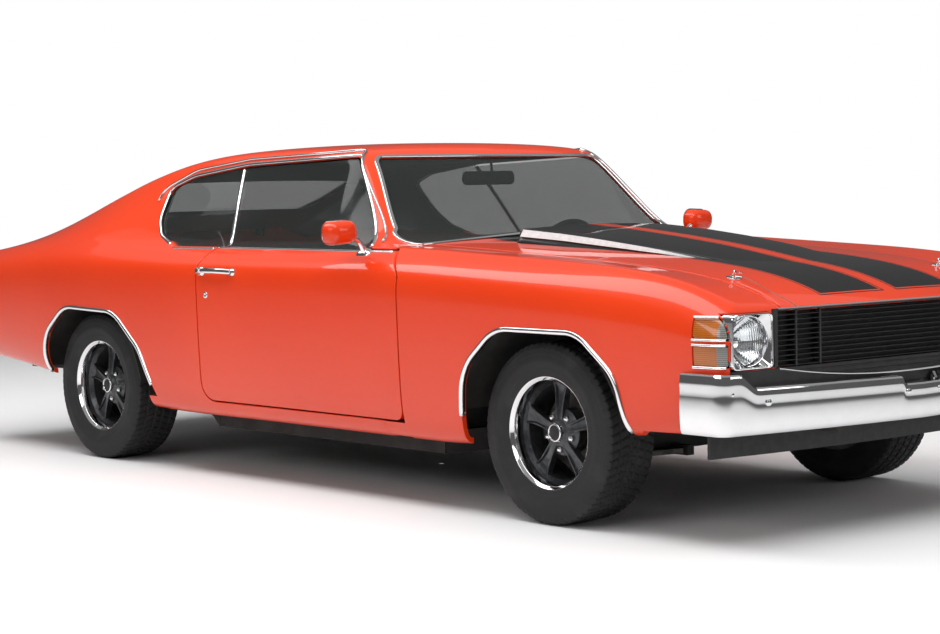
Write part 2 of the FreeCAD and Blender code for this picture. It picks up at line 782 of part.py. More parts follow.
def knuckle():
    # left side: upright on the leaning steering axis, its spindle and the caliper
    x = front_axle_x
    z = hub_z
    y0 = front_track / 2 - kingpin_offset
    low, high, up = kingpin()
    upright = beam(low, high, 40, 34)
    end = front_track / 2 + mount_face
    spindle = rod(V(x, y0, z), V(x, end - seat_gap, z), 17)
    hub = rod(V(x, y0 + 10, z), V(x, y0 + 38, z), 36)
    rotor_in = end - 58
    back = x - disc_radius - 22
    pads = box(x - 126, x - 84, rotor_in - 46, rotor_in - brake_gap, z - 45, z + 45)
    edge = x - disc_radius - brake_gap
    bridge = box(back, edge, rotor_in - 46, rotor_in + 22, z - 40, z + 40)
    join = box(back, x - 84, rotor_in - 46, rotor_in - 20, z - 40, z + 40)
    arm = beam(V(x - 80, y0 - 20, z - 20), V(x + 10, y0 + 4, z - 20), 24, 18)
    carrier = beam(V(x - 130, rotor_in - 34, z), V(x, rotor_in - 34, z), 20, 40)
    return fuse([upright, spindle, hub, pads, bridge, join, arm, carrier])


def kingpin():
    # left side's lower and upper ends of the upright, and the direction between them
    y0 = front_track / 2 - kingpin_offset
    lean = math.tan(math.radians(kingpin_lean))
    low = V(front_axle_x, y0 + 92 * lean, hub_z - 92)
    high = V(front_axle_x, y0 - 104 * lean, hub_z + 104)
    return low, high, (high - low).normalize()


def suspension():
    # front arms and springs, rear trailing arms and springs, on both sides
    low, high, up = kingpin()
    x = front_axle_x
    low_ball = rod(low - up * (26 + ball_gap), low - up * ball_gap, 24)
    high_ball = rod(high + up * ball_gap, high + up * (24 + ball_gap), 20)
    low_mid = low - up * (13 + ball_gap)
    high_mid = high + up * (12 + ball_gap)
    legs = [beam(V(x + reach, 338, low_mid.z + 10), low_mid, 34, 18) for reach in (-150, 132)]
    seat = box(x - 88, x + 72, 440, 542, low_mid.z - 9, low_mid.z + 18)
    lower = fuse(legs + [low_ball, seat])
    arms = [beam(V(x + reach, 401, high_mid.z + 16), high_mid, 30, 18) for reach in (-90, 90)]
    upper = fuse(arms + [high_ball])
    spring = rod(V(x, 490, low_mid.z + 18 + seat_gap), V(x, 490, spring_hat_z - seat_gap), 46)
    rear = rear_axle_x
    trailing = beam(V(rear + 479, 480, 240), V(rear + 46, 480, 256), 40, 40)
    coil = rod(V(rear, 440, hub_z + 46), V(rear, 440, kick_bar_z - seat_gap), 52)
    return Part.makeCompound([both(s) for s in (lower, upper, spring, trailing, coil)])


def rear_axle():
    x = rear_axle_x
    end = rear_track / 2 + mount_face - 66
    tube = rod(V(x, -end, hub_z), V(x, end, hub_z), 38)
    half = [(0.01, 130), (70, 130, 20), (138, 60, 50)]
    mirror_half = [(138, -60, 50), (70, -130, 20), (0.01, -130)]
    pumpkin = turned(half + mirror_half, x, hub_z)
    snout = rod(V(x + 60, 0, hub_z), V(x + 240, 0, hub_z), 62)
    face = rear_track / 2 + mount_face - seat_gap
    pieces = [tube, pumpkin, snout]
    for s in (1, -1):
        pieces.append(rod(V(x, s * end, hub_z), V(x, s * (end - 10), hub_z), 120))
        pieces.append(rod(V(x, s * end, hub_z), V(x, s * face, hub_z), 20))
        pad = (s * 440 - 50, s * 440 + 50)
        pieces.append(box(x - 50, x + 50, pad[0], pad[1], hub_z + 20, hub_z + 46 - seat_gap))
        pieces.append(box(x - 15, x + 45 - seat_gap, s * 480 - 16, s * 480 + 16, 238, 290))
    return fuse(pieces)


def drive_shaft():
    return rod(V(rear_axle_x + 240 + seat_gap, 0, hub_z), V(gearbox_rear_x - 1.5, 0, gearbox_z), 38)


def bumper_arm(grow):
    # left front bracket from the frame's horn to the back of the bumper
    return box(2290, 2520, 375 - grow, 425 + grow, 352 - grow, 390 + grow)


def frame():
    # perimeter frame: front horns, side rails, kick-up over the axle, rear rails
    path = (
        (2300.0, 400.0, 350.0),
        (1250.0, 400.0, 350.0),
        (1000.0, 470.0, 240.0),
        (860.0, 700.0, 222.0),
        (-560.0, 700.0, 222.0),
        (-760.0, 590.0, 240.0),
        (-980.0, 540.0, 330.0),
        (-1180.0, 540.0, 448.0),
        (-1400.0, 540.0, 448.0),
        (-1640.0, 540.0, 380.0),
        (-2330.0, 540.0, 372.0),
    )
    rail_wide = 60.0
    rail_high = 84.0
    pieces = []
    for (ax, ay, az), (bx, by, bz) in zip(path, path[1:]):
        a = V(ax, ay, az)
        b = V(bx, by, bz)
        over = (b - a).normalize() * 14
        pieces.append(beam(a - over, b + over, rail_wide, rail_high))
    side = fuse(pieces)
    bars = []
    for x, half, z0, z1, wide in (
        (2240.0, 400.0, 320.0, 380.0, 60.0),
        (front_axle_x, 420.0, 220.0, 280.0, 150.0),
        (430.0, 720.0, 208.3, gearbox_z - 88 - seat_gap, 90.0),
        (-1000.0, 560.0, 365.0, 415.0, 56.0),
        (rear_axle_x, 560.0, kick_bar_z, 496.0, 100.0),
        (-2275.0, 560.0, 345.0, 405.0, 50.0),
    ):
        bars.append(box(x - wide / 2, x + wide / 2, -half, half, z0, z1))
    x = front_axle_x
    extras = [
        box(x - 75, x + 75, 330, 430, 270, 320),
        box(x - 170, x + 155, 296, 330 - seat_gap, 205, 240),
        box(x - 60, x + 60, 376, 430, 380, spring_hat_z + 8),
        box(x - 60, x + 60, 376, 545, spring_hat_z, spring_hat_z + 8),
        box(x - 108, x - 72, 372, 395 - seat_gap, 380, 470),
        box(x + 72, x + 108, 372, 395 - seat_gap, 380, 470),
        bumper_arm(0.0).common(nose_prism(bumper_ahead - bumper_wall - seat_gap, 300, 600)),
        box(-2520, -2310, 515, 565, 380, 412).common(tail_prism(12.0 - seat_gap, 300, 600)),
        box(rear_axle_x + 480, rear_axle_x + 500, 460, 570, 215, 280),
    ]
    for mount_x in (780.0, 150.0, -450.0):
        extras.append(box(mount_x - 35, mount_x + 35, 675, 725, 250, 281 - seat_gap))
    extras.append(box(-2150, -2080, 515, 565, 400, 437 - seat_gap))
    left = fuse([side] + extras)
    return fuse([left, mirrored(left)] + bars)


def underbody():
    # floor, tunnel, firewall, seat riser and trunk floor in one welded pressing
    cabin = (
        (1010.0, 890.0),
        (1010.0, 520.0),
        (860.0, 284.0),
        (-640.0, 284.0),
        (-760.0, 500.0),
        (-800.0, 502.0),
    )
    rear = ((-790.0, 502.0), (-1560.0, 502.0), (-1660.0, 440.0), (-2370.0, 440.0))
    half = sill_inner_y - 1
    floor = fuse([bent_sheet(cabin, -half, half), bent_sheet(rear, -590, 590)])
    outside = box(-690, 1006, -170, 170, 281, 450).fuse(box(690, 1006, -206, 206, 281, 615))
    inside = box(-800, 1020, -164, 164, 270, 444).fuse(box(696, 1020, -200, 200, 270, 609))
    tunnel = outside.cut(inside)
    floor = floor.cut(outside.cut(tunnel)).cut(box(1000, 1020, -200, 200, 270, 609))
    tubs = []
    for s in (1, -1):
        y0, y1 = sorted((s * 584, s * 1000))
        tub = turned([(404, y0), (410, y0), (410, y1), (404, y1)], rear_axle_x, hub_z)
        tub = tub.common(envelope(skin + seat_gap))
        wall = plate_disc(410, sorted((s * 584, s * 590)))
        keep = box(rear_axle_x - 420, rear_axle_x + 420, y0, y1, hub_z + 50, 800)
        tubs.append(tub.fuse(wall).common(keep))
    return fuse([floor, tunnel] + tubs)


def plate_disc(radius, ys):
    return turned([(0.01, ys[0]), (radius, ys[0]), (radius, ys[1]), (0.01, ys[1])], rear_axle_x, hub_z)


def inner_fenders():
    x = front_axle_x
    inside = envelope(skin + seat_gap)
    ring = turned([(408, 470), (414, 470), (414, 1000), (408, 1000)], x, hub_z)
    ring = ring.common(box(x - 430, x + 430, 470, 1000, hub_z + 60, 800)).common(inside)
    apron = plate_xz([(1020, 470), (2330, 470), (2330, 720), (2000, 780), (1020, 840)], 464, 470)
    apron = apron.cut(turned([(0.01, 460), (360, 460), (360, 480), (0.01, 480)], x, hub_z))
    shelf = box(2236, 2276, 464, 600, 700, 720)
    post = Part.makeCylinder(12, 400, V(2256, 580, 705), V(0, 0, 1)).common(inside)
    return both(fuse([ring, apron, shelf, post]))


def engine():
    # plain block at its real size and place, with its gearbox
    right = [(130, 400), (150, 560), (330, 690), (290, 800), (190, 830)]
    vee = right + [(-y, z) for y, z in right[::-1]]
    block = plate_yz([(y, z, 15.0) for y, z in vee], 1080, 1740)
    sump = plate_yz([(-120, 300, 20.0), (120, 300, 20.0), (120, 410), (-120, 410)], 1090, 1440)
    cleaner = Part.makeCylinder(175, 60, V(1420, 0, 829), V(0, 0, 1))
    bell = Part.makeCone(110, 185, 230, V(860, 0, 430), V(1, 0, 0))
    case = rod(V(gearbox_rear_x - 12, 0, gearbox_z), V(870, 0, 358), 88)
    case = case.cut(box(gearbox_rear_x - 40, gearbox_rear_x, -200, 200, 100, 600))
    case = case.cut(box(gearbox_rear_x - 40, 480, -200, 200, 0, gearbox_z - 88))
    feet = box(1380, 1440, -390, 390, 392 + seat_gap, 432)
    return fuse([block, sump, cleaner, bell, case, feet])


def radiator():
    core = box(2010, 2070, -330, 330, 400, 830)
    tanks = [box(1995, 2085, s * 360 - 35, s * 360 + 35, 392 + seat_gap, 836) for s in (1, -1)]
    return fuse([core] + tanks)


def fuel_tank():
    top = 437 - seat_gap
    return plate_xz([(-1740, 250, 40), (-2230, 270, 40), (-2230, top, 20), (-1740, top, 20)], -470, 470)


def exhaust():
    pieces = []
    path = ((1150, 300, 420), (1000, 300, 180), (-300, 300, 180))
    for s in (1, -1):
        points = [V(x, s * y, z) for x, y, z in path]
        pipe = [rod(a, b, 28) for a, b in zip(points, points[1:])]
        pipe += [Part.makeSphere(28, p) for p in points[1:-1]]
        muffler = box(-800, -300, s * 300 - 110, s * 300 + 110, 120, 235)
        pieces.append(fuse(pipe + [muffler]))
    return Part.makeCompound(pieces)


def rounded_nose(ahead, half, corner, z0, z1):
    # everything behind the bowed nose line, its two front corners rounded in plan
    block = nose_prism(ahead, z0, z1, half).common(box(bumper_end_x, 2600, -half, half, z0, z1))
    tall = [e for e in block.Edges if abs(e.tangentAt(e.FirstParameter).z) > 0.99]
    front = [e for e in tall if e.CenterOfMass.x > bumper_end_x + 60]
    return block.makeFillet(corner, front)


def bumper_outline(inset):
    # seen from ahead: level below, its top stepped up at the ends beside the lamps
    half = bumper_half + 10
    low = [(-half, 374 + inset), (-700, 369 + inset), (0, 365 + inset), (700, 369 + inset)]
    low.append((half, 374 + inset))
    right = [(half, 572 - inset), (886, 572 - inset, 30.0), (800, 526 - inset, 40.0)]
    high = right + [(0, 514 - inset)] + [(-c[0],) + c[1:] for c in right[::-1]]
    return plate_yz(low + high, 2200, 2600)


def front_bumper():
    # pressed blade wrapped round the corners, its top and bottom edges turned back
    wall = bumper_wall
    outside = rounded_nose(bumper_ahead, bumper_half, bumper_corner, 300, 620)
    hollow = rounded_nose(bumper_ahead - wall, bumper_half - wall, bumper_corner - wall, 290, 630)
    blade = outside.common(bumper_outline(0.0)).cut(hollow.common(bumper_outline(wall)))
    blade = blade.cut(nose_prism(bumper_ahead - bumper_reach, 250, 700, bumper_half - wall))
    arms = bumper_arm(seat_gap).common(nose_prism(bumper_ahead - wall, 300, 600))
    blade = blade.cut(both(arms))
    return biggest(blade)


def rear_bumper():
    blade = tail_prism(40.0, 395, 545).cut(tail_prism(12.0, 300, 600))
    return biggest(blade.common(box(-2600, -2300, -915, 915, 395, 545)))


def grille():
    # black horizontal bars across the opening between the lamps
    half = grille_half - seat_gap
    low = grille_low_z + seat_gap
    high = grille_high_z - seat_gap
    back = nose_prism(-56.0, low, high, half).cut(nose_prism(-66.0, 500, 800))
    bars = [biggest(back)]
    pitch = (high - low - grille_bar) / (grille_bars - 1)
    for i in range(grille_bars):
        z = low + i * pitch
        bar = nose_prism(-30.0, z, z + grille_bar, half).cut(nose_prism(-58.0, z - 1, z + 20))
        bars.append(biggest(bar))
    for y in grille_posts:
        post = nose_prism(-36.0, low, high).cut(nose_prism(-58.0, 500, 800))
        bars += [biggest(post.common(box(2200, 2600, s * y - 5, s * y + 5, low, high))) for s in (1, -1)]
    return biggest(fuse(bars).cut(plate_xy(hood_plan(gap), 728, 900)))


def front_lamps():
    lamps = []
    markers = marker_boxes(0.0).common(outer).common(nose_prism(-30.0, 0, 1200))
    for s in (1, -1):
        y0, y1 = sorted((s * (bezel_y[0] + seat_gap), s * (bezel_y[1] - seat_gap)))
        bezel = box(2290, 2600, y0, y1, bezel_z[0] + seat_gap, bezel_z[1] - seat_gap)
        bezel = bezel.common(nose_prism(-30.0, 300, 1200))
        middle = V(2300, s * (bezel_y[0] + bezel_y[1]) / 2, (bezel_z[0] + bezel_z[1]) / 2)
        bowl = Part.makeCylinder(lamp_radius + 3, 300, middle + V(nose_x - 2420 + 10, 0, 0), V(1, 0, 0))
        lens = Part.makeCylinder(lamp_radius, nose_x - 2420 + 16, middle, V(1, 0, 0))
        lamps.append(fuse([bezel.cut(bowl), lens]))
        lamps += markers.Solids if s > 0 else mirrored(markers).Solids
    return Part.makeCompound(lamps)


def tail_lamps():
    return Part.makeCompound(tail_lamp_solids(0.0).Solids)


def front_valance():
    # a curved apron tucked back under the bumper, hung from a flange below the nose panel
    top = nose_split_z - seat_gap
    apron = nose_prism(-valance_back, 285, top).cut(nose_prism(-valance_back - 12, 200, 500))
    flange = nose_prism(-30.0, top - 10, top).cut(nose_prism(-valance_back - 12, 200, 500))
    panel = apron.fuse(flange).cut(both(bumper_arm(3.0)))
    return biggest(panel.common(box(2100, 2600, -840, 840, 270, top)))


# ---- cabin

def front_seats():
    y0 = seat_inner_y
    y1 = y0 + seat_width
    cushion = plate_xz([(-250, 330, 30), (330, 330, 60), (330, 470, 60), (-250, 440, 40)], y0, y1)
    back = plate_xz([(-110, 400, 20), (-240, 400, 20), (-420, 900, 60), (-300, 930, 60)], y0, y1)
    rails = [box(-220, 300, y, y + 30, 287 + seat_gap, 340) for y in (y0 + 40, y1 - 70)]
    return both(fuse([cushion, back] + rails))


def rear_seat():
    low = 505 + seat_gap
    front = [(-800, low, 20), (-690, 520, 20), (-690, 610, 50)]
    cushion = plate_xz([(-1160, low, 20)] + front + [(-1160, 580, 20)], -560, 560)
    back = plate_xz([(-1040, 540, 20), (-1180, 540, 20), (-1330, 890, 40), (-1230, 920, 60)],
                    -560, 560)
    return fuse([cushion, back])


def dashboard():
    wall = 1007 - seat_gap
    face = [(640, 905, 40), (560, 860, 30), (560, 720, 30), (700, 640, 40)]
    pad = plate_xz([(wall, 640), (wall, 880)] + face, -700, 700)
    column = rod(V(940, 370, 640), V(402, 370, 820), 26)
    return fuse([pad, column])


def steering_wheel():
    line = V(402 - 940, 0, 820 - 640).normalize()
    centre = V(402, 370, 820) + line * seat_gap
    ring = Part.makeTorus(190, 13, centre + line * 30, line)
    hub = Part.makeCylinder(45, 45, centre, line)
    across = V(0, 1, 0)
    up = line.cross(across).normalize()
    bars = []
    for a in (90, 210, 330):
        out = across * math.sin(math.radians(a)) + up * math.cos(math.radians(a))
        bars.append(rod(centre + line * 25, centre + line * 30 + out * 188, 9))
    return fuse([ring, hub] + bars)


def door():
    panel = outer.common(plate_xz(door_shape(0.0), door_inner_y, 1000))
    x = hinge_x()
    for z in door_hinge_z:
        pocket = box(x - 36, door_front_x + 20, door_inner_y - 10, 934, z - 22, z + 22)
        hole = Part.makeCylinder(hinge_pin + seat_gap, 86, V(x, door_hinge_y, z - 43), V(0, 0, 1))
        panel = panel.cut(pocket).cut(hole)
    return panel


def mirror():
    # left side: head on a stalk from a foot on the door's shoulder
    head = plate_yz([(905, 960, 30), (1045, 960, 30), (1045, 1050, 30), (905, 1050, 30)], 560, 600)
    foot = box(555, 615, 845, 885, 880, 938)
    stalk = rod(V(585, 868, 930), V(580, 935, 985), 9)
    return biggest(fuse([head, stalk, foot]))


os.makedirs("parts", exist_ok=True)
save("body_shell", body_shell())
save("front_fenders", front_fenders())
save("hood", hood())
save("trunk_lid", trunk_lid())
save("nose_panel", nose_panel())
save("front_valance", front_valance())
save("front_bumper", front_bumper())
save("rear_bumper", rear_bumper())
save("grille", grille())
save("front_lamps", front_lamps())
save("tail_lamps", tail_lamps())
save("windshield", windshield())
save("rear_window", rear_window())
save("quarter_windows", both(quarter_window()))
pane = door_window()
save("door_window_left", pane)
save("door_window_right", mirrored(pane))
left_door = door()
save("door_left", left_door)
save("door_right", mirrored(left_door))
left_mirror = mirror().cut(left_door)
save("mirror_left", left_mirror)
save("mirror_right", mirrored(left_mirror))
for name, x, y, side in (
    ("front_left", front_axle_x, front_track / 2, 1),
    ("front_right", front_axle_x, -front_track / 2, -1),
    ("rear_left", rear_axle_x, rear_track / 2, 1),
    ("rear_right", rear_axle_x, -rear_track / 2, -1),
):
    save("tyre_" + name, tyre(x, y))
    save("wheel_" + name, wheel(x, y, side))
save("knuckle_left", knuckle())
save("knuckle_right", mirrored(knuckle()))
save("suspension", suspension())
save("rear_axle", rear_axle())
save("drive_shaft", drive_shaft())
save("frame", frame())
save("underbody", underbody())
save("inner_fenders", inner_fenders())
save("engine", engine())
save("radiator", radiator())
save("fuel_tank", fuel_tank())
save("exhaust", exhaust())
save("front_seats", front_seats())
save("rear_seat", rear_seat())
save("dashboard", dashboard())
save("steering_wheel", steering_wheel())
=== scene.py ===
import math

import bmesh
import bpy
import numpy as np
from mathutils import Matrix


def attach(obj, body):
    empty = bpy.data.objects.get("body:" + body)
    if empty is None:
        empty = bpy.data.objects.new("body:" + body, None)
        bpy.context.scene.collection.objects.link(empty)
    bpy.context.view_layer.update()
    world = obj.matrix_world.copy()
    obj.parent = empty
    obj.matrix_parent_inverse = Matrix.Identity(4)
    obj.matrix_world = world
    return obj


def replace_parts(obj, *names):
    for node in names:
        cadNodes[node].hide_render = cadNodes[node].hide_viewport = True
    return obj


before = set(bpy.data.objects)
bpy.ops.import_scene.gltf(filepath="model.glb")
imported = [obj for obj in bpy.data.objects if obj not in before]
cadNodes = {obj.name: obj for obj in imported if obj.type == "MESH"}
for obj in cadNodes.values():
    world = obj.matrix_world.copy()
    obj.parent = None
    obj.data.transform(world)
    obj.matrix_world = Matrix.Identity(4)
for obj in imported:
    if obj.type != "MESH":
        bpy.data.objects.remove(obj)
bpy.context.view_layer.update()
print("frame loaded:", len(cadNodes), "nodes")


# ---- the body's net of sections, in millimetres, as in the part's source
sectionNames = ("x", "sill", "wide", "shoulder", "beltY", "beltZ", "edgeY", "edgeZ", "crown", "lead")
sections = np.array((
    (2560, 372, 886, 640, 815, 690, 600, 700, 704, 0),
    (2420, 370, 912, 690, 838, 772, 620, 768, 774, 0),
    (2250, 366, 934, 735, 852, 852, 640, 838, 846, 0),
    (1950, 340, 952, 770, 858, 897, 650, 882, 894, 0),
    (1560, 290, 960, 795, 858, 916, 660, 910, 924, 0),
    (1180, 252, 956, 812, 852, 932, 680, 928, 942, 0),
    (960, 250, 951, 822, 846, 942, 700, 940, 952, 0),
    (770, 250, 948, 830, 838, 946, 736, 946, 958, 40),
    (640, 250, 945, 834, 832, 947, 742, 954, 968, 100),
    (535, 250, 945, 836, 827, 947, 718, 1040, 1056, 110),
    (400, 250, 945, 836, 821, 946, 670, 1198, 1214, 90),
    (296, 250, 944, 836, 817, 945, 634, 1306, 1326, 60),
    (180, 250, 944, 836, 814, 944, 622, 1316, 1341, 26),
    (-30, 250, 944, 836, 812, 943, 618, 1322, 1347, 10),
    (-300, 250, 946, 836, 812, 942, 616, 1318, 1345, 0),
    (-600, 250, 952, 836, 820, 943, 618, 1310, 1337, 0),
    (-900, 262, 960, 836, 836, 949, 620, 1280, 1306, 0),
    (-1200, 300, 964, 834, 850, 956, 628, 1214, 1230, 0),
    (-1500, 345, 960, 828, 858, 952, 644, 1116, 1116, 0),
    (-1760, 378, 950, 818, 850, 936, 660, 1024, 1014, 0),
    (-2020, 400, 936, 804, 834, 914, 668, 954, 950, 0),
    (-2280, 415, 918, 786, 813, 888, 664, 906, 912, 0),
    (-2560, 425, 892, 762, 784, 856, 648, 866, 876, 0),
), float)


def unit(rows):
    # each row scaled to length one
    return rows / np.maximum(np.linalg.norm(rows, axis=-1, keepdims=True), 1e-12)


def xyz(x, y, z):
    # points from three coordinates, any of which may be one number
    return np.stack(np.broadcast_arrays(x, y, z), -1)


def netPoles(inset):
    # fourteen poles per section from sill to centreline, each moved inward across the section
    s = dict(zip(sectionNames, sections.T))
    side = s["shoulder"] - s["sill"]
    riseY, riseZ = s["edgeY"] - s["beltY"], s["edgeZ"] - s["beltZ"]
    crown = s["crown"] - s["edgeZ"]
    y = np.stack([
        s["wide"] - 80, s["wide"] - 26, s["wide"] - 10, s["wide"] - 1, s["wide"], s["wide"] - 14,
        s["beltY"] + 22, s["beltY"] - 6, s["beltY"] + 0.22 * riseY, s["beltY"] + 0.88 * riseY,
        s["edgeY"], 0.86 * s["edgeY"], 0.45 * s["edgeY"], 0 * s["edgeY"]], 1)
    z = np.stack([
        s["sill"], s["sill"] + 8, s["sill"] + 0.38 * side, s["shoulder"] - 60, s["shoulder"] - 8,
        s["shoulder"] + 0.42 * (s["beltZ"] - s["shoulder"]), s["beltZ"] - 14, s["beltZ"] + 2,
        s["beltZ"] + 0.22 * riseZ, s["beltZ"] + 0.88 * riseZ, s["edgeZ"],
        s["edgeZ"] + 0.42 * crown, s["edgeZ"] + 0.97 * crown, s["edgeZ"] + 0.97 * crown], 1)
    order = np.arange(y.shape[1])
    before, after = np.maximum(order - 1, 0), np.minimum(order + 1, order[-1])
    dy, dz = y[:, after] - y[:, before], z[:, after] - z[:, before]
    run = np.hypot(dy, dz)
    inY, inZ = -dz / run, dy / run
    inY[:, -1], inZ[:, -1] = 0, -1
    y, z = y + inset * inY, z + inset * inZ
    edge = s["edgeY"][:, None]
    ahead = np.where(y < edge, s["lead"][:, None] * (1 - (y / edge) ** 2), 0)
    return np.stack([s["x"][:, None] + ahead, y, z], 2) / 1000


def cubicWeights(t, count):
    # uniform clamped cubic weights of each pole at parameter t, by the usual recursion
    knots = np.concatenate([np.zeros(3), np.arange(count - 2), np.full(3, count - 3)]).astype(float)
    t = np.clip(t, 0, count - 3 - 1e-9)[:, None]
    low, high = knots[None, :-1], knots[None, 1:]
    weight = ((t >= low) & (t < high)).astype(float)
    for d in range(1, 4):
        span = len(knots) - 1 - d
        left = np.maximum(knots[d:d + span] - knots[:span], 0)
        right = np.maximum(knots[d + 1:d + 1 + span] - knots[1:1 + span], 0)
        rising = np.where(left > 0, (t - knots[:span]) / np.where(left > 0, left, 1), 0)
        falling = np.where(right > 0, (knots[d + 1:d + 1 + span] - t) / np.where(right > 0, right, 1), 0)
        weight = rising * weight[:, :span] + falling * weight[:, 1:span + 1]
    return weight


noseBow, noseFront = 0.018, 2.4450
tailBow, tailBack = 0.060, -2.4695


def bowed(y, bow):
    # how far a shallow arc across the car has fallen back at y, bow deep at 0.96
    radius = (0.96 ** 2 + bow ** 2) / (2 * bow)
    return radius - np.sqrt(radius ** 2 - np.minimum(np.abs(y), 1.0) ** 2)


class Net:
    # the body surface, moved inward by inset; u runs nose to tail, v from the left sill over
    # the top to the right sill. With wrap, it turns a round corner into the nose and the tail.
    def __init__(self, inset=-0.001, wrap=False):
        self.poles = netPoles(inset * 1000)
        self.wrap = wrap
        self.uEnd = self.poles.shape[0] - 3.0
        self.mid = self.poles.shape[1] - 3.0

    def bare(self, u, v):
        w = self.mid - np.abs(v - self.mid)
        side = np.where(v <= self.mid, 1.0, -1.0)
        along = cubicWeights(u, self.poles.shape[0])
        across = cubicWeights(w, self.poles.shape[1])
        p = np.einsum("ni,ijc,nj->nc", along, self.poles, across)
        p[:, 1] *= side
        return p

    def slope(self, point, u, v, step=2e-3):
        # unit normal of the surface point(u, v), by central differences
        du = point(np.minimum(u + step, self.uEnd), v) - point(np.maximum(u - step, 0), v)
        dv = point(u, np.minimum(v + step, 2 * self.mid)) - point(u, np.maximum(v - step, 0))
        return unit(np.cross(du, dv))

    def at(self, u, v):
        p = self.bare(u, v)
        if not self.wrap:
            return p
        n = self.slope(self.bare, u, v)
        top = np.clip((np.abs(v - self.mid) - 1.2) / 1.6, 0, 1)
        for ahead, line, radius in (
            (1, noseFront - bowed(p[:, 1], noseBow), 0.014 + 0.032 * top),
            (-1, -tailBack - bowed(p[:, 1], tailBow), 0.016 + 0 * top),
        ):
            # past the corner's start the distance is walked round a quarter circle, then inward
            walked = ahead * p[:, 0] - (line - radius)
            turn = np.clip(walked / radius, 0, math.pi / 2)
            on = walked > 0
            x = ahead * (line - radius + radius * np.sin(turn))
            sink = radius * (1 - np.cos(turn)) + np.maximum(walked - radius * math.pi / 2, 0)
            flat = unit(n * np.array([0, 1, 1]))
            p = np.where(on[:, None], p - flat * sink[:, None], p)
            p[:, 0] = np.where(on, x, p[:, 0])
        return p

    def normal(self, u, v):
        return self.slope(self.at, u, v)

    def lines(self, step, u=(0, None), v=(0, None)):
        # grid lines about one step apart on the surface, between the given parameters
        spans = ((u[0], self.uEnd if u[1] is None else u[1]),
                 (v[0], 2 * self.mid if v[1] is None else v[1]))
        found = []
        for axis in (0, 1):
            fine = np.linspace(*spans[axis], 260)
            other = np.linspace(*spans[1 - axis], 24)
            a, b = np.meshgrid(fine, other, indexing="ij")
            pair = (a.ravel(), b.ravel()) if axis == 0 else (b.ravel(), a.ravel())
            p = self.bare(*pair).reshape(260, 24, 3)
            run = np.linalg.norm(np.diff(p, axis=0), axis=2).max(1)
            total = np.concatenate([[0], np.cumsum(run)])
            count = max(3, int(total[-1] / step) + 1)
            found.append(np.interp(np.linspace(0, total[-1], count), total, fine))
        return found

    def find(self, axes, wanted, u=(0, 20), v=(0, 11)):
        # the net's points whose two coordinates (axes) are the wanted ones: Newton's steps from
        # the nearest point of a coarse grid; gives the points and their normals
        gu, gv = np.meshgrid(np.linspace(*u, 90), np.linspace(*v, 60), indexing="ij")
        gu, gv = gu.ravel(), gv.ravel()
        grid = self.at(gu, gv)[:, axes]
        near = ((wanted[:, None] - grid[None]) ** 2).sum(2).argmin(1)
        a, b = gu[near].copy(), gv[near].copy()
        h = 1e-4
        for _ in range(12):
            miss = wanted - self.at(a, b)[:, axes]
            ja = (self.at(a + h, b)[:, axes] - self.at(a - h, b)[:, axes]) / (2 * h)
            jb = (self.at(a, b + h)[:, axes] - self.at(a, b - h)[:, axes]) / (2 * h)
            det = ja[:, 0] * jb[:, 1] - ja[:, 1] * jb[:, 0]
            det = np.where(np.abs(det) < 1e-9, 1e-9, det)
            stepA = (miss[:, 0] * jb[:, 1] - miss[:, 1] * jb[:, 0]) / det
            stepB = (ja[:, 0] * miss[:, 1] - ja[:, 1] * miss[:, 0]) / det
            a = np.clip(a + np.clip(stepA, -0.5, 0.5), u[0], u[1])
            b = np.clip(b + np.clip(stepB, -0.5, 0.5), v[0], v[1])
        return self.at(a, b), self.normal(a, b)


# ---- outlines: closed lines with rounded corners, and how far inside them a point lies

def roundedLine(corners, steps=9, scale=0.001):
    # corners are (a, b, radius) in millimetres; each becomes a tangent arc
    points = np.array([(c[0], c[1]) for c in corners], float)
    radii = np.array([c[2] if len(c) > 2 else 0.0 for c in corners], float)
    back = np.roll(points, 1, 0) - points
    ahead = np.roll(points, -1, 0) - points
    back /= np.linalg.norm(back, axis=1)[:, None]
    ahead /= np.linalg.norm(ahead, axis=1)[:, None]
    half = np.arccos(np.clip((back * ahead).sum(1), -1, 1)) / 2
    middle = back + ahead
    middle /= np.maximum(np.linalg.norm(middle, axis=1), 1e-9)[:, None]
    centre = points + middle * (radii / np.sin(half))[:, None]
    start = points + back * (radii / np.tan(half))[:, None]
    stop = points + ahead * (radii / np.tan(half))[:, None]
    t = np.linspace(0, 1, steps)[None, :, None]
    chord = start[:, None] * (1 - t) + stop[:, None] * t - centre[:, None]
    size = np.linalg.norm(chord, axis=2, keepdims=True)
    arcs = centre[:, None] + chord / np.maximum(size, 1e-9) * radii[:, None, None]
    rows = [a if r > 0 else p[None] for a, r, p in zip(arcs, radii, points)]
    return np.concatenate(rows) * scale


def spread(line, step, closed=True):
    # the same line with points an even step apart
    ring = np.concatenate([line, line[:1]]) if closed else line
    run = np.concatenate([[0], np.cumsum(np.linalg.norm(np.diff(ring, axis=0), axis=1))])
    count = max(4, int(run[-1] / step) + 1)
    even = np.linspace(0, run[-1], count + 1)[:-1] if closed else np.linspace(0, run[-1], count)
    return np.stack([np.interp(even, run, ring[:, i]) for i in range(ring.shape[1])], 1)


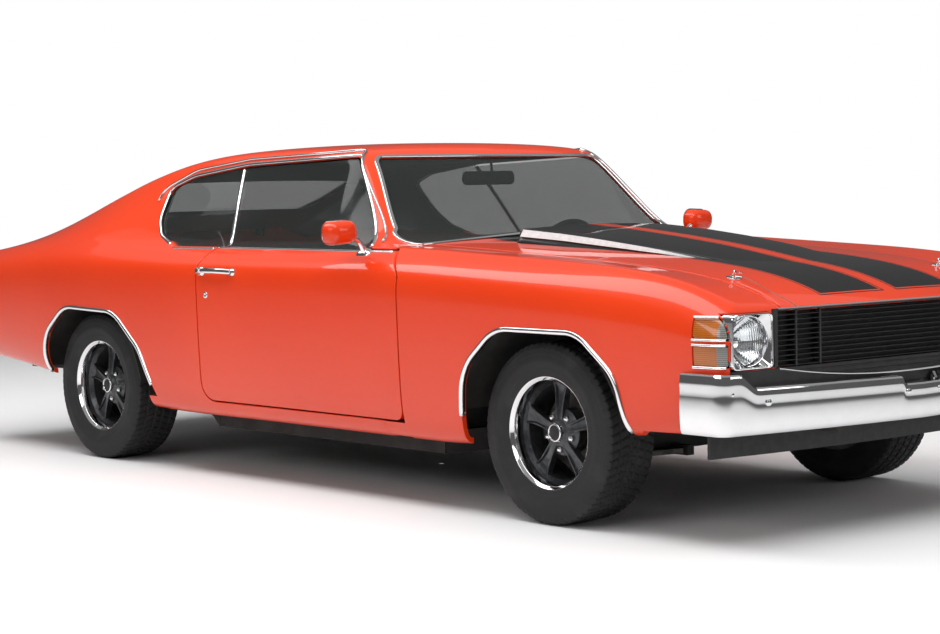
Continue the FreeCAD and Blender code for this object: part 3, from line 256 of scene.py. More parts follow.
def insideLine(points, line):
    # signed distance to a closed line, positive inside; the sign counts crossings
    out = np.empty(len(points))
    a, b = line, np.roll(line, -1, 0)
    d = b - a
    size = np.maximum((d ** 2).sum(1), 1e-18)
    for first in range(0, len(points), 16000):
        p = points[first:first + 16000, None]
        t = np.clip(((p - a) * d).sum(2) / size, 0, 1)
        gap = ((p - a - t[..., None] * d) ** 2).sum(2).min(1)
        over = (a[:, 1] > p[..., 1]) != (b[:, 1] > p[..., 1])
        rise = np.where(d[:, 1] == 0, 1e-12, d[:, 1])
        hit = over & (p[..., 0] < a[:, 0] + (p[..., 1] - a[:, 1]) / rise * d[:, 0])
        out[first:first + 16000] = np.sqrt(gap) * np.where(hit.sum(1) % 2, 1, -1)
    return out


frontAxle, rearAxle = 1568.5, -1276.5
archFront = roundedLine([(frontAxle + x, z, r) for x, z, r in (
    (452, 0, 0), (446, 330, 0), (404, 540, 170), (240, 677, 150),
    (-165, 677, 190), (-345, 530, 200), (-372, 280, 0), (-372, 0, 0))], 24)
archRear = roundedLine([(rearAxle + x, z, r) for x, z, r in (
    (600, 0, 0), (556, 270, 0), (440, 505, 200), (265, 655, 180),
    (-130, 665, 200), (-338, 520, 180), (-326, 350, 0), (-326, 0, 0))], 24)
sideWindow = roundedLine((
    (600, 934), (284, 1288, 24), (-440, 1262, 500), (-800, 1219, 260), (-936, 1174, 34),
    (-902, 1046, 120), (-836, 982, 60), (-700, 934, 90)), 14)
doorLine = roundedLine((
    (-400.5, 934), (-400.5, 318, 70), (863.5, 318, 40), (863.5, 850, 60), (763.5, 934)), 10)
windshieldLine = roundedLine((
    (-764, 956, 20), (-700, 1008), (-588, 1282, 50), (588, 1282, 50), (700, 1008), (764, 956, 20),
    (0, 995)), 10)
rearWindowLine = roundedLine(((-575, 1062, 60), (575, 1062, 60), (520, 1272, 60), (-520, 1272, 60)), 10)
hoodLine = roundedLine(((745, -655), (2600, -614), (2600, 614), (745, 655)), 16)
lidLine = roundedLine(((-1905, -640, 40), (-2700, -640), (-2700, 640), (-1905, 640, 40)), 10)
bezelY, bezelZ = (0.686, 0.878), (0.577, 0.758)
grilleHalf, grilleZ = 0.672, (0.572, 0.770)
markerZ = (0.588, 0.675)
gapHalf = 0.0015          # how far each skin reaches past its panel's edge


def least(*fields):
    return np.minimum.reduce(fields)


# ---- sheets cut from a surface

def cutSheet(surface, uLines, vLines, keep, edge=0.0025, depth=0.006, steps=3):
    # a closed sheet: the part of the surface where keep is above zero, its edge rounded over
    # and turned in, and the same sheet again depth lower. Each grid cell is two triangles;
    # crossings of the outline are found by halving along the triangle sides.
    gu, gv = np.meshgrid(uLines, vLines, indexing="ij")
    par = np.stack([gu.ravel(), gv.ravel()], 1)
    value = keep(surface.at(par[:, 0], par[:, 1])) - edge
    ids = np.arange(len(par)).reshape(gu.shape)
    a, b, c, d = ids[:-1, :-1].ravel(), ids[1:, :-1].ravel(), ids[1:, 1:].ravel(), ids[:-1, 1:].ravel()
    tris = np.concatenate([np.stack([a, b, c], 1), np.stack([a, c, d], 1)])
    inside = value > 0
    count = inside[tris].sum(1)
    whole, mixed = tris[count == 3], tris[(count == 1) | (count == 2)]
    single = inside[mixed].sum(1) == 1
    # turn each mixed triangle so that its odd corner comes first
    odd = np.where(single[:, None], inside[mixed], ~inside[mixed]).argmax(1)
    mixed = mixed[np.arange(len(mixed))[:, None], (odd[:, None] + np.arange(3)) % 3]
    pairs = np.sort(np.concatenate([mixed[:, [0, 1]], mixed[:, [0, 2]]]), 1)
    keys, back = np.unique(pairs[:, 0] * len(par) + pairs[:, 1], return_inverse=True)
    low, high = keys // len(par), keys % len(par)
    inner = np.where(inside[low], low, high)
    outerEnd = np.where(inside[low], high, low)
    p0, p1 = par[inner].copy(), par[outerEnd].copy()
    for _ in range(13):
        half = (p0 + p1) / 2
        good = keep(surface.at(half[:, 0], half[:, 1])) - edge > 0
        p0, p1 = np.where(good[:, None], half, p0), np.where(good[:, None], p1, half)
    crossing = len(par) + back.ravel()
    ab, ac = crossing[:len(mixed)], crossing[len(mixed):]
    one, two = single, ~single
    faces = np.concatenate([
        whole,
        np.stack([mixed[one, 0], ab[one], ac[one]], 1),
        np.stack([ab[two], mixed[two, 1], mixed[two, 2]], 1),
        np.stack([ab[two], mixed[two, 2], ac[two]], 1)])
    rim = np.concatenate([np.stack([ab[one], ac[one]], 1), np.stack([ac[two], ab[two]], 1)])
    par = np.concatenate([par, p0])
    used, flat = np.unique(np.concatenate([faces.ravel(), rim.ravel()]), return_inverse=True)
    flat = flat.ravel()
    faces, rim = flat[:faces.size].reshape(-1, 3), flat[faces.size:].reshape(-1, 2)
    par = par[used]
    points = surface.at(par[:, 0], par[:, 1])
    normals = surface.normal(par[:, 0], par[:, 1])
    # outward direction along the rim
    side = np.cross(points[rim[:, 1]] - points[rim[:, 0]], normals[rim[:, 0]])
    out = np.zeros_like(points)
    np.add.at(out, rim[:, 0], side)
    np.add.at(out, rim[:, 1], side)
    out -= normals * (out * normals).sum(1)[:, None]
    out = unit(out)
    rimIds, rimFlat = np.unique(rim, return_inverse=True)
    rimFlat = rimFlat.reshape(-1, 2)
    total = len(points)
    rows, allPoints, allNormals, quads = [rimIds], [points], [normals], []
    angles = np.linspace(0, math.pi / 2, steps + 1)[1:]
    shapes = [(edge * math.sin(t), edge * (1 - math.cos(t)), math.cos(t), math.sin(t)) for t in angles]
    shapes.append((edge, depth, 0.0, 1.0))
    for outward, sink, upPart, outPart in shapes:
        allPoints.append(points[rimIds] + out[rimIds] * outward - normals[rimIds] * sink)
        allNormals.append(normals[rimIds] * upPart + out[rimIds] * outPart)
        rows.append(total + np.arange(len(rimIds)))
        total += len(rimIds)
    # the lower sheet: its rim lies under the rounded edge
    allPoints.append(points - normals * depth)
    allNormals.append(-normals)
    lower = total + np.arange(len(points))
    total += len(points)
    rows.append(lower[rimIds])
    for upper, under in zip(rows, rows[1:]):
        p, q = upper[rimFlat[:, 0]], upper[rimFlat[:, 1]]
        p2, q2 = under[rimFlat[:, 0]], under[rimFlat[:, 1]]
        quads.append(np.stack([p2, q2, q, p], 1))
    return (np.concatenate(allPoints), np.concatenate([faces, lower[faces][:, ::-1]]),
            np.concatenate(quads), np.concatenate(allNormals))


def meshObject(name, points, tris=None, quads=None, normals=None):
    # a smooth mesh from arrays, with its own normals where they are given
    mesh = bpy.data.meshes.new(name)
    groups = [np.asarray(g, np.int32) for g in (tris, quads) if g is not None and len(g)]
    mesh.vertices.add(len(points))
    mesh.vertices.foreach_set("co", np.asarray(points, np.float32).ravel())
    loops = np.concatenate([g.ravel() for g in groups])
    sizes = np.concatenate([np.full(len(g), g.shape[1], np.int32) for g in groups])
    mesh.loops.add(len(loops))
    mesh.loops.foreach_set("vertex_index", loops)
    mesh.polygons.add(len(sizes))
    mesh.polygons.foreach_set("loop_start", np.concatenate([[0], np.cumsum(sizes)[:-1]]).astype(np.int32))
    mesh.update(calc_edges=True)
    mesh.polygons.foreach_set("use_smooth", np.ones(len(sizes), bool))
    mesh.validate()
    if normals is not None:
        mesh.normals_split_custom_set_from_vertices(normals.astype(np.float32))
    piece = bpy.data.objects.new(name, mesh)
    bpy.context.scene.collection.objects.link(piece)
    return piece


def place(piece, body, material):
    # sets the piece's finish, the body it moves with and its material slot
    piece.data.materials.append(material)
    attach(piece, body)
    return piece


# ---- materials: a small wrapper so that shader sums read as plain expressions

class Value:
    # one shader output; each operator adds its Math node
    def __init__(self, finish, out):
        self.finish, self.out = finish, out

    def maths(self, operation, *others, clamp=False):
        return self.finish.node("Math", {"operation": operation, "use_clamp": clamp},
                                dict(enumerate((self, *others))))

    def __abs__(self):
        return self.maths("ABSOLUTE")

    def ramp(self, low, high):
        # smooth step from 0 at low to 1 at high
        return self.finish.node("MapRange", {"interpolation_type": "SMOOTHSTEP"}, {
            "Value": self, "From Min": low, "From Max": high, "To Min": 0.0, "To Max": 1.0})

    def band(self, low, high, soft):
        # 1 between low and high, fading over soft
        return self.ramp(low - soft / 2, low + soft / 2) - self.ramp(high - soft / 2, high + soft / 2)


for word, operation in (
    ("__add__", "ADD"), ("__radd__", "ADD"), ("__sub__", "SUBTRACT"), ("__mul__", "MULTIPLY"),
    ("__truediv__", "DIVIDE"), ("lesser", "MINIMUM"), ("greater", "MAXIMUM"),
):
    setattr(Value, word, lambda self, other, operation=operation: self.maths(operation, other))


class Finish:
    # one material; node() adds any node by its type, its settings and its sockets
    def __init__(self, name):
        self.material = bpy.data.materials.new(name)
        self.material.use_nodes = True
        self.tree = self.material.node_tree
        self.tree.nodes.clear()

    def node(self, kind, settings=None, sockets=None, output=0):
        made = self.tree.nodes.new("ShaderNode" + kind)
        for key, value in (settings or {}).items():
            if key == "stops":
                ramp = made.color_ramp
                while len(ramp.elements) < len(value):
                    ramp.elements.new(0.5)
                for element, (where, colour) in zip(ramp.elements, value):
                    element.position, element.color = where, colour
            else:
                setattr(made, key, value)
        for key, value in (sockets or {}).items():
            if isinstance(value, Value):
                self.tree.links.new(value.out, made.inputs[key])
            else:
                made.inputs[key].default_value = value
        return Value(self, made.outputs[output] if len(made.outputs) else None)

    def place(self):
        return self.node("TexCoord", output="Object")

    def axes(self):
        # x, y and z in the car's frame, metres
        spot = self.place()
        return tuple(self.node("SeparateXYZ", None, {"Vector": spot}, output=i) for i in range(3))

    def noise(self, scale, detail=3.0, rough=0.55, stretch=None):
        spot = self.place()
        if stretch:
            spot = self.node("Mapping", None, {"Vector": spot, "Scale": stretch})
        return self.node("TexNoise", None, {
            "Vector": spot, "Scale": scale, "Detail": detail, "Roughness": rough})

    def mix(self, mask, below, above):
        return self.node("Mix", {"data_type": "RGBA"}, {0: mask, 6: below, 7: above}, output=2)

    def bump(self, height, strength, distance):
        return self.node("Bump", None, {"Height": height, "Strength": strength, "Distance": distance})

    def surface(self, **sockets):
        names = {key.replace("_", " "): value for key, value in sockets.items()}
        shader = self.node("BsdfPrincipled", None, names)
        self.node("OutputMaterial", None, {"Surface": shader})
        return self.material


def rgb(red, green, blue):
    return (red, green, blue, 1.0)


paintLook = {
    "red": rgb(0.78, 0.046, 0.004), "deep": rgb(0.74, 0.041, 0.0035), "black": rgb(0.006, 0.006, 0.007),
    "stripeIn": 0.046, "stripeOut": 0.352, "pinOut": (0, 0.0075, 0.0140), "stripeFront": 2.352,
}


def makePaint(name, striped=False, lined=False, widest=0.0):
    # glossy enamel: faint mottled depth under a clear coat, with twin black stripes on the lids
    f = Finish(name)
    flake = f.noise(900.0, 2.0)
    cloud = f.noise(1.1, 1.0)
    colour = f.mix(cloud.ramp(0.35, 0.65), paintLook["red"], paintLook["deep"])
    rough = 0.30 + flake * 0.06
    if striped:
        x, y, _ = f.axes()
        across = abs(y)
        inner, outer = paintLook["stripeIn"], max(paintLook["stripeOut"], widest)
        # the broad stripe, then its thin outline: one wider band less another
        bands = [across.band(inner - out, outer + out, 0.0008).lesser(
            x.band(-9.0, paintLook["stripeFront"] + out, 0.0008)) for out in paintLook["pinOut"]]
        colour = f.mix(bands[0].greater(bands[2] - bands[1]), colour, paintLook["black"])
    if lined:
        # trimmed in black where the shell faces the cabin
        x, y, z = f.axes()
        cabin = x.band(-1.95, 0.97, 0.01).lesser(
            z.ramp(0.952, 0.956).greater((abs(y) * -1.0).ramp(-0.806, -0.802)))
        colour = f.mix(cabin, colour, paintLook["black"])
    peel = f.noise(55.0, 2.0)
    return f.surface(
        Base_Color=colour, Roughness=rough, Specular_IOR_Level=0.2, Coat_Weight=0.7, Coat_Roughness=0.025,
        Normal=f.bump(peel, 0.05, 0.0004))


def makeChrome(name, tone=0.86, rough=0.055):
    f = Finish(name)
    smear = f.noise(14.0, 4.0, 0.6)
    pits = f.noise(700.0, 2.0)
    return f.surface(
        Base_Color=f.mix(smear.ramp(0.3, 0.7), rgb(tone, tone, tone * 1.01),
                         rgb(tone * 0.96, tone * 0.96, tone * 0.97)),
        Metallic=1.0, Roughness=rough + smear * 0.02, Normal=f.bump(pits, 0.03, 0.0002))


def makeGlass(name, tint=(0.030, 0.036, 0.034), clear=0.58):
    # clear tinted pane: see-through under a glossy skin
    f = Finish(name)
    wipe = f.noise(7.0, 3.0)
    gloss = f.node("BsdfPrincipled", None, {
        "Base Color": rgb(*tint), "Roughness": 0.02 + wipe * 0.03, "Transmission Weight": 0.0,
        "Metallic": 0.0, "IOR": 1.5, "Alpha": 1.0 - clear})
    f.node("OutputMaterial", None, {"Surface": gloss})
    return f.material


def makeLens(name, tint):
    # solid clear glass that bends light, under a faint smear
    f = Finish(name)
    smear = f.noise(40.0, 2.0)
    return f.surface(Base_Color=f.mix(smear, rgb(*tint), rgb(*(c * 0.96 for c in tint))),
                     Roughness=0.01 + smear * 0.02, IOR=1.45, Transmission_Weight=1.0)


def makeRubber(name):
    f = Finish(name)
    grain = f.noise(240.0, 3.0)
    dust = f.noise(9.0, 4.0)
    return f.surface(
        Base_Color=f.mix(dust.ramp(0.45, 0.8), rgb(0.014, 0.014, 0.015), rgb(0.030, 0.029, 0.028)),
        Roughness=0.62 + grain * 0.2, Normal=f.bump(grain, 0.25, 0.0006))


def makeVinyl(name, tone=0.012):
    # grained upholstery vinyl: small pebble cells with a soft sheen
    f = Finish(name)
    cells = f.node("TexVoronoi", {"feature": "DISTANCE_TO_EDGE"}, {"Vector": f.place(), "Scale": 420.0})
    creases = f.noise(26.0, 4.0)
    height = cells.ramp(0.0, 0.25) * 0.6 + creases * 0.4
    return f.surface(
        Base_Color=f.mix(creases.ramp(0.4, 0.75), rgb(tone, tone, tone * 1.05),
                         rgb(tone * 1.9, tone * 1.9, tone * 1.9)),
        Roughness=0.36 + creases * 0.2, Normal=f.bump(height, 0.35, 0.0006))


def makePlain(name, low, high, rough=0.5, metal=0.0, scale=30.0, bump=0.15, depth=0.0006, coat=0.0):
    # two-tone worked finish: cast, painted or moulded, by its numbers
    f = Finish(name)
    broad = f.noise(scale, 4.0, 0.6)
    fine = f.noise(scale * 12, 3.0)
    return f.surface(
        Base_Color=f.mix(broad.ramp(0.35, 0.7), rgb(*low), rgb(*high)), Metallic=metal,
        Roughness=rough + fine * 0.12, Coat_Weight=coat,
        Normal=f.bump(fine * 0.6 + broad * 0.4, bump, depth))


paint = makePaint("orangeRedEnamel")
stripedPaint = makePaint("stripedEnamel", striped=True)
domePaint = makePaint("domeEnamel", striped=True, widest=0.60)
shellPaint = makePaint("shellEnamel", lined=True)
chrome = makeChrome("brightChrome")
satin = makeChrome("brushedTrim", 0.72, 0.22)
glass = makeGlass("tintedPane")
rubber = makeRubber("tyreRubber")
vinyl = makeVinyl("blackVinyl")
gunmetal = makePlain("gunmetalWheel", (0.055, 0.057, 0.062), (0.085, 0.088, 0.094), 0.34, 0.75, 60.0,
                     0.05, 0.0003, 0.4)
blackGrille = makePlain("satinBlack", (0.010, 0.010, 0.011), (0.018, 0.018, 0.019), 0.42, 0.0, 20.0)
blackPlastic = makePlain("blackTrim", (0.012, 0.012, 0.013), (0.022, 0.022, 0.023), 0.5, 0.0, 40.0)
underPaint = makePlain("underbodyBlack", (0.016, 0.015, 0.014), (0.032, 0.030, 0.027), 0.72, 0.0,
                       9.0, 0.3, 0.001)
castSteel = makePlain("castSteel", (0.075, 0.070, 0.065), (0.14, 0.13, 0.12), 0.55, 0.8, 22.0, 0.4, 0.001)
engineMetal = makePlain("engineEnamel", (0.05, 0.05, 0.052), (0.09, 0.09, 0.092), 0.45, 0.4,
                        14.0, 0.3, 0.001)
exhaustSteel = makePlain("exhaustSteel", (0.22, 0.20, 0.18), (0.36, 0.33, 0.30), 0.42, 0.9,
                         12.0, 0.2, 0.0006)
tankSteel = makePlain("tankSteel", (0.20, 0.20, 0.20), (0.30, 0.30, 0.30), 0.5, 0.7, 16.0, 0.2, 0.0006)
amber = makePlain("amberLens", (0.62, 0.13, 0.008), (0.72, 0.18, 0.012), 0.18, 0.0, 90.0,
                  0.1, 0.0004, 1.0)
tailLens = makePlain("tailLens", (0.30, 0.006, 0.006), (0.42, 0.012, 0.010), 0.16, 0.0, 90.0,
                     0.1, 0.0004, 1.0)

nodeFinish = (
    (shellPaint, "body_shell"), (paint, "front_fenders nose_panel door_left door_right"),
    (stripedPaint, "hood trunk_lid"),
    (chrome, "front_bumper rear_bumper front_lamps mirror_left mirror_right"),
    (glass, "windshield rear_window quarter_windows door_window_left door_window_right"),
    # front_valance is black as painted shade: it lies in shadow under the bumper
    (blackPlastic, "front_valance dashboard steering_wheel"), (blackGrille, "grille radiator"),
    (castSteel, "knuckle_left knuckle_right suspension rear_axle drive_shaft"),
    (underPaint, "frame underbody inner_fenders"), (engineMetal, "engine"), (tankSteel, "fuel_tank"),
    (exhaustSteel, "exhaust"), (vinyl, "front_seats rear_seat"), (tailLens, "tail_lamps"),
    (rubber, "tyre_front_left tyre_front_right tyre_rear_left tyre_rear_right"),
    (gunmetal, "wheel_front_left wheel_front_right wheel_rear_left wheel_rear_right"),
)
for finish, names in nodeFinish:
    for name in names.split():
        cadNodes[name].data.materials.clear()
        cadNodes[name].data.materials.append(finish)
print("materials made:", len(bpy.data.materials))


# ---- swept strips and turned pieces

def loft(rings, endless=False):
    # closed rings (count, ring, 3) joined in order; the ends get a fan each, unless the last
    # ring joins the first
    rings = np.asarray(rings, float)
    count, ring = rings.shape[:2]
    ids = np.arange(count * ring).reshape(count, ring)
    ahead = np.roll(ids, -1, 0)
    if not endless:
        ids, ahead = ids[:-1], ids[1:]
    quads = np.stack([ids, np.roll(ids, -1, 1), np.roll(ahead, -1, 1), ahead], 2).reshape(-1, 4)
    points = rings.reshape(-1, 3)
    if endless:
        return points, quads, None
    centres = np.full(ring, count * ring)
    caps = np.concatenate([
        np.stack([centres, np.roll(ids[0], -1), ids[0]], 1),
        np.stack([centres + 1, ahead[-1], np.roll(ahead[-1], -1)], 1)])
    return np.concatenate([points, rings[:1].mean(1), rings[-1:].mean(1)]), quads, caps


def strip(path, normals, profile, closed=False):
    # a profile carried along a path: each row sits at a path point, its first coordinate across
    # the path in the surface and its second along the surface normal
    path, profile = np.asarray(path), np.asarray(profile)
    along = np.roll(path, -1, 0) - np.roll(path, 1, 0) if closed else np.gradient(path, axis=0)
    along = unit(along)
    side = unit(np.cross(along, normals))
    up = np.cross(side, along)
    rings = path[:, None] + side[:, None] * profile[None, :, :1] + up[:, None] * profile[None, :, 1:]
    return loft(rings, closed)


def halfRound(wide, high, sunk=0.003, count=9):
    # a bead's cross section: a flattened arch over the surface, closed below it
    t = np.linspace(0, math.pi, count)
    arch = np.stack([np.cos(t) * wide / 2, np.sin(t) ** 0.8 * high], 1)
    arch[[0, -1], 1] = -sunk
    return arch[::-1]


def trim(name, path, normals, profile, body, closed=False):
    # a bright bead along a path on the body's surface
    points, quads, caps = strip(path, normals, profile, closed)
    place(fixOut(meshObject(name, points, caps, quads)), body, chrome)


def fixOut(piece, sharp=None):
    # points every face of a closed mesh outwards; sharp marks edges above that angle
    work = bmesh.new()
    work.from_mesh(piece.data)
    bmesh.ops.remove_doubles(work, verts=work.verts, dist=1e-6)
    bmesh.ops.recalc_face_normals(work, faces=work.faces)
    work.to_mesh(piece.data)
    work.free()
    if sharp:
        piece.data.set_sharp_from_angle(angle=math.radians(sharp))
    return piece


def turned(corners, centre, axis=(0, 1, 0), steps=72, arc=6):
    # a closed line of (radius, along, corner radius) turned about an axis through centre
    profile = roundedLine(corners, arc, 1.0)
    axis = unit(np.asarray(axis, float))
    first = unit(np.cross(axis, (0, 0, 1.0) if abs(axis[2]) < 0.9 else (1.0, 0, 0)))
    t = np.linspace(0, 2 * math.pi, steps, endpoint=False)[:, None]
    spokes = np.cos(t) * first + np.sin(t) * np.cross(axis, first)
    rings = spokes[:, None] * profile[None, :, :1] + axis * profile[None, :, 1:]
    return loft(rings + np.asarray(centre, float), True)


def joined(parts):
    # several (points, quads, tris) put together as one mesh
    starts = np.cumsum([0] + [len(part[0]) for part in parts])
    faces = []
    for kind in (1, 2):
        group = [part[kind] + start for part, start in zip(parts, starts) if part[kind] is not None]
        faces.append(np.concatenate(group) if group else None)
    return np.concatenate([part[0] for part in parts]), *faces


def piece(name, parts, body, material, slot, sharp=35, node=None, fill=None):
    # one visible piece; node is the CAD node it stands for; fill is not used
    points, quads, tris = joined(parts)
    made = place(fixOut(meshObject(name, points, tris, quads), sharp), body, material)
    if node:
        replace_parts(made, node)


def moved(parts, scale=1.0, shift=0.0):
    # the same parts scaled along each axis, then shifted
    return [(points * np.array(scale) + np.array(shift), *rest) for points, *rest in parts]


def slab(outline, low, high, plane=(0, 2), edge=0.0):
    # an outline in a plane given thickness along the third axis, its corners eased by edge
    eased = ((low, edge), (low + edge, 0), (high - edge, 0), (high, edge))
    rings = []
    for level, inset in eased if edge else ((low, 0), (high, 0)):
        ring = np.full((len(outline), 3), float(level))
        ring[:, plane] = outline - unit(outline - outline.mean(0)) * inset
        rings.append(ring)
    return loft(rings)


def boxPart(low, high, edge=0.002):
    # a box whose outline has small eased corners
    (x0, y0, z0), (x1, y1, z1) = low, high
    outline = roundedLine([(x, z, edge) for x, z in ((x0, z0), (x1, z0), (x1, z1), (x0, z1))], 4, 1.0)
    return slab(outline, y0, y1, edge=edge)


def tube(points, radius, ring=12):
    # a round bar along points, its frame carried from one point to the next
    points = np.asarray(points, float)
    along = unit(np.gradient(points, axis=0))
    side = unit(np.cross(along, (0, 0, 1.0) if abs(along[0][2]) < 0.8 else (0, 1.0, 0)))
    t = np.linspace(0, 2 * math.pi, ring, endpoint=False)[None, :, None]
    radius = np.broadcast_to(radius, len(points))[:, None, None]
    up = np.cross(side, along)[:, None]
    return loft(points[:, None] + radius * (np.cos(t) * side[:, None] + np.sin(t) * up))


def smoothPath(points, count=40):
    # a curve through the first and last control points: cubic, or quadratic for three of them
    points = np.asarray(points, float)
    if len(points) > 3:
        return cubicWeights(np.linspace(0, len(points) - 3, count), len(points)) @ points
    s = np.linspace(0, 1, count)[:, None]
    return points[0] * (1 - s) ** 2 + 2 * points[1] * s * (1 - s) + points[2] * s ** 2


# ---- painted skins, a millimetre proud of the panels and cut along their outlines

skinNet = Net(-0.001)
wrapNet = Net(-0.001, wrap=True)
skinLook = {"step": 0.017, "fine": 0.012, "depth": 0.006}
cowlSeam, doorFront, lipZ = 0.765, 0.868, 0.7605
sideView, planView, frontView = [0, 2], [0, 1], [1, 2]


def bodyKeep(p):
    # the body's outer panels less the doors, glass, hood, lid and wheel openings
    side = np.abs(p[:, 1])
    low = np.where(side > 0.66, cowlSeam - 0.0003 + gapHalf / 3, 0.730) - p[:, 0]
    door = np.where(side > 0.5, -insideLine(p[:, sideView], doorLine) - 0.009 + gapHalf, 1.0)
    door = np.where(p[:, 2] > 0.944, 1.0, door)
    window = np.where((side > 0.5) & (p[:, 2] > 0.93), -insideLine(p[:, sideView], sideWindow), 1.0)
    front = np.where((p[:, 0] > 0.25) & (p[:, 2] > 0.93),
                     -insideLine(p[:, frontView], windshieldLine), 1.0)
    rear = np.where((p[:, 0] < -0.9) & (p[:, 2] > 1.0), -insideLine(p[:, frontView], rearWindowLine), 1.0)
    lid = np.where(p[:, 2] > 0.8, -insideLine(p[:, planView], lidLine) - 0.009 + gapHalf, 1.0)
    arch = np.where(p[:, 2] < 0.8, -insideLine(p[:, sideView], archRear), 1.0)
    tail = np.where(p[:, 0] < -2.3, p[:, 0] - tailBack - bowed(p[:, 1], tailBow) - 0.0006, 1.0)
    return least(low, door, window, front, rear, lid, arch, tail)


def fenderKeep(p):
    side = np.abs(p[:, 1])
    x, z = p[:, 0], p[:, 2]
    back = x - cowlSeam + gapHalf / 3
    door = -insideLine(p[:, sideView], doorLine) - 0.009 + gapHalf
    below = np.where(z < 0.85, x - doorFront - 0.0045 + gapHalf, 1.0)
    hood = np.where(z > 0.74, -insideLine(p[:, planView], hoodLine) - 0.009 + gapHalf, 1.0)
    arch = -insideLine(p[:, sideView], archFront)
    under = np.where(x > 2.02, z - 0.366, 1.0)
    grille = np.where(x > 2.25, -least(z - grilleZ[0], lipZ - z, grilleHalf - side), 1.0)
    bezel = np.where(x > 2.25, -least(z - bezelZ[0], bezelZ[1] - z, side - bezelY[0], bezelY[1] - side),
                     1.0)
    marks = [-least(x - 2.303, z - low, low + 0.074 - z, side - 0.8845) for low in markerZ]
    inner = side - 0.25
    face = np.where(x > 2.2, noseFront - bowed(side, noseBow) - x - 0.0006, 1.0)
    return least(back, door, below, hood, arch, under, grille, bezel, inner, face, *marks)


def hoodKeep(p):
    # out to the rolled lip over the grille
    return least(insideLine(p[:, planView], hoodLine) + gapHalf,
                 np.where(p[:, 0] > 2.2, p[:, 2] - lipZ + 0.001, 1.0))


def lidKeep(p):
    tail = p[:, 0] - tailBack - bowed(p[:, 1], tailBow) - 0.0006
    return least(insideLine(p[:, planView], lidLine) - 0.009 + gapHalf, tail, p[:, 2] - 0.7)


def doorKeep(p):
    return least(insideLine(p[:, sideView], doorLine) + gapHalf, p[:, 2] - 0.3)


def skin(name, net, keep, body, material, step, u, v):
    uLines, vLines = net.lines(step, u, v)
    points, tris, quads, normals = cutSheet(net, uLines, vLines, keep, depth=skinLook["depth"])
    piece = meshObject(name, points, tris, quads, normals)
    place(piece, body, material)
    print("skin", name, len(tris) + 2 * len(quads))
    return piece


step, fine = skinLook["step"], skinLook["fine"]
skin("bodySkin", wrapNet, bodyKeep, "body", paint, step, (6.2, 20), (0, 22))
for name, v in (("Left", (0, 9.6)), ("Right", (12.4, 22))):
    skin("fenderSkin" + name, wrapNet, fenderKeep, "body", paint, fine, (0, 7), v)
skin("hoodSkin", wrapNet, hoodKeep, "hood", stripedPaint, step, (0, 7), (8, 14))
skin("lidSkin", wrapNet, lidKeep, "trunk_lid", stripedPaint, step, (17, 20), (8, 14))
for name, v in (("left", (0, 8)), ("right", (14, 22))):
    skin("doorSkin_" + name, skinNet, doorKeep, "door_" + name, paint, step, (5, 15), v)


class EndFace:
    # the bowed upright face at the nose (ahead 1) or the tail (ahead -1): u is across, v is up
    def __init__(self, ahead):
        self.ahead = ahead
        self.bow, self.line = (noseBow, noseFront) if ahead > 0 else (tailBow, tailBack)

    def at(self, u, v):
        y = u * self.ahead
        return xyz(self.line - self.ahead * (bowed(y, self.bow) - 0.0006), y, v)

    def normal(self, u, v, step=1e-4):
        y = u * self.ahead
        slope = (bowed(y + step, self.bow) - bowed(y - step, self.bow)) / (2 * step)
        return unit(xyz(self.ahead, slope, 0 * u))

    def outline(self, inset=0.0004):
        # where the wrapped sides and top finish their corner, found by stepping u along each v
        v = np.linspace(0.4, 21.6, 220)
        u = np.full(220, 1.5 if self.ahead > 0 else 18.5)
        for _ in range(12):
            p = skinNet.bare(u, v)
            beside = skinNet.bare(u + 0.01 * self.ahead, v)[:, 0]
            top = np.clip((np.abs(v - skinNet.mid) - 1.2) / 1.6, 0, 1)
            radius = 0.014 + 0.032 * top if self.ahead > 0 else 0.016 + 0 * top
            wanted = self.line - self.ahead * (bowed(p[:, 1], self.bow) - radius * (math.pi / 2 - 1))
            u = np.clip(u - (p[:, 0] - wanted) / ((beside - p[:, 0]) / 0.01 * self.ahead), 0, 20)
        edge = wrapNet.at(u, v)[:, frontView]
        return edge + unit(np.array((0, 0.64)) - edge) * inset


lampSpots = ((0.600, 0.650), (0.770, 0.650))
lidSeam, lidHalf = 0.700, 0.640


def faceEdge(ahead, low, foot, half):
    # the face's outline above low, closed by a level foot line
    line = EndFace(ahead).outline()
    return np.concatenate([line[line[:, 1] > low], [(-half, foot), (half, foot)]])


noseEdge = faceEdge(1, 0.372, 0.372, 0.86)
tailEdge = faceEdge(-1, 0.438, 0.434, 0.84)


def lampHoles(p):
    # below zero inside the openings for the head lamps and corner lamps
    side, z = np.abs(p[:, 1]), p[:, 2]
    bezel = -least(z - bezelZ[0], bezelZ[1] - z, side - bezelY[0], bezelY[1] - side)
    return bezel, [-least(z - low, low + 0.074 - z, side - 0.8845) for low in markerZ]


def noseKeep(p):
    bezel, marks = lampHoles(p)
    grille = -least(p[:, 2] - grilleZ[0], grilleHalf - np.abs(p[:, 1]))
    return least(insideLine(p[:, frontView], noseEdge), grille, bezel, *marks)


def tailKeep(p):
    lamps = [np.hypot(np.abs(p[:, 1]) - y, p[:, 2] - z) - 0.0600 for y, z in lampSpots]
    lid = -least(lidHalf - np.abs(p[:, 1]), p[:, 2] - lidSeam) - 0.003 + gapHalf
    return least(insideLine(p[:, frontView], tailEdge), lid, *lamps)


def lidTailKeep(p):
    side = lidHalf - 0.009 + gapHalf - np.abs(p[:, 1])
    return least(insideLine(p[:, frontView], tailEdge), side, p[:, 2] - lidSeam - 0.003 + gapHalf)


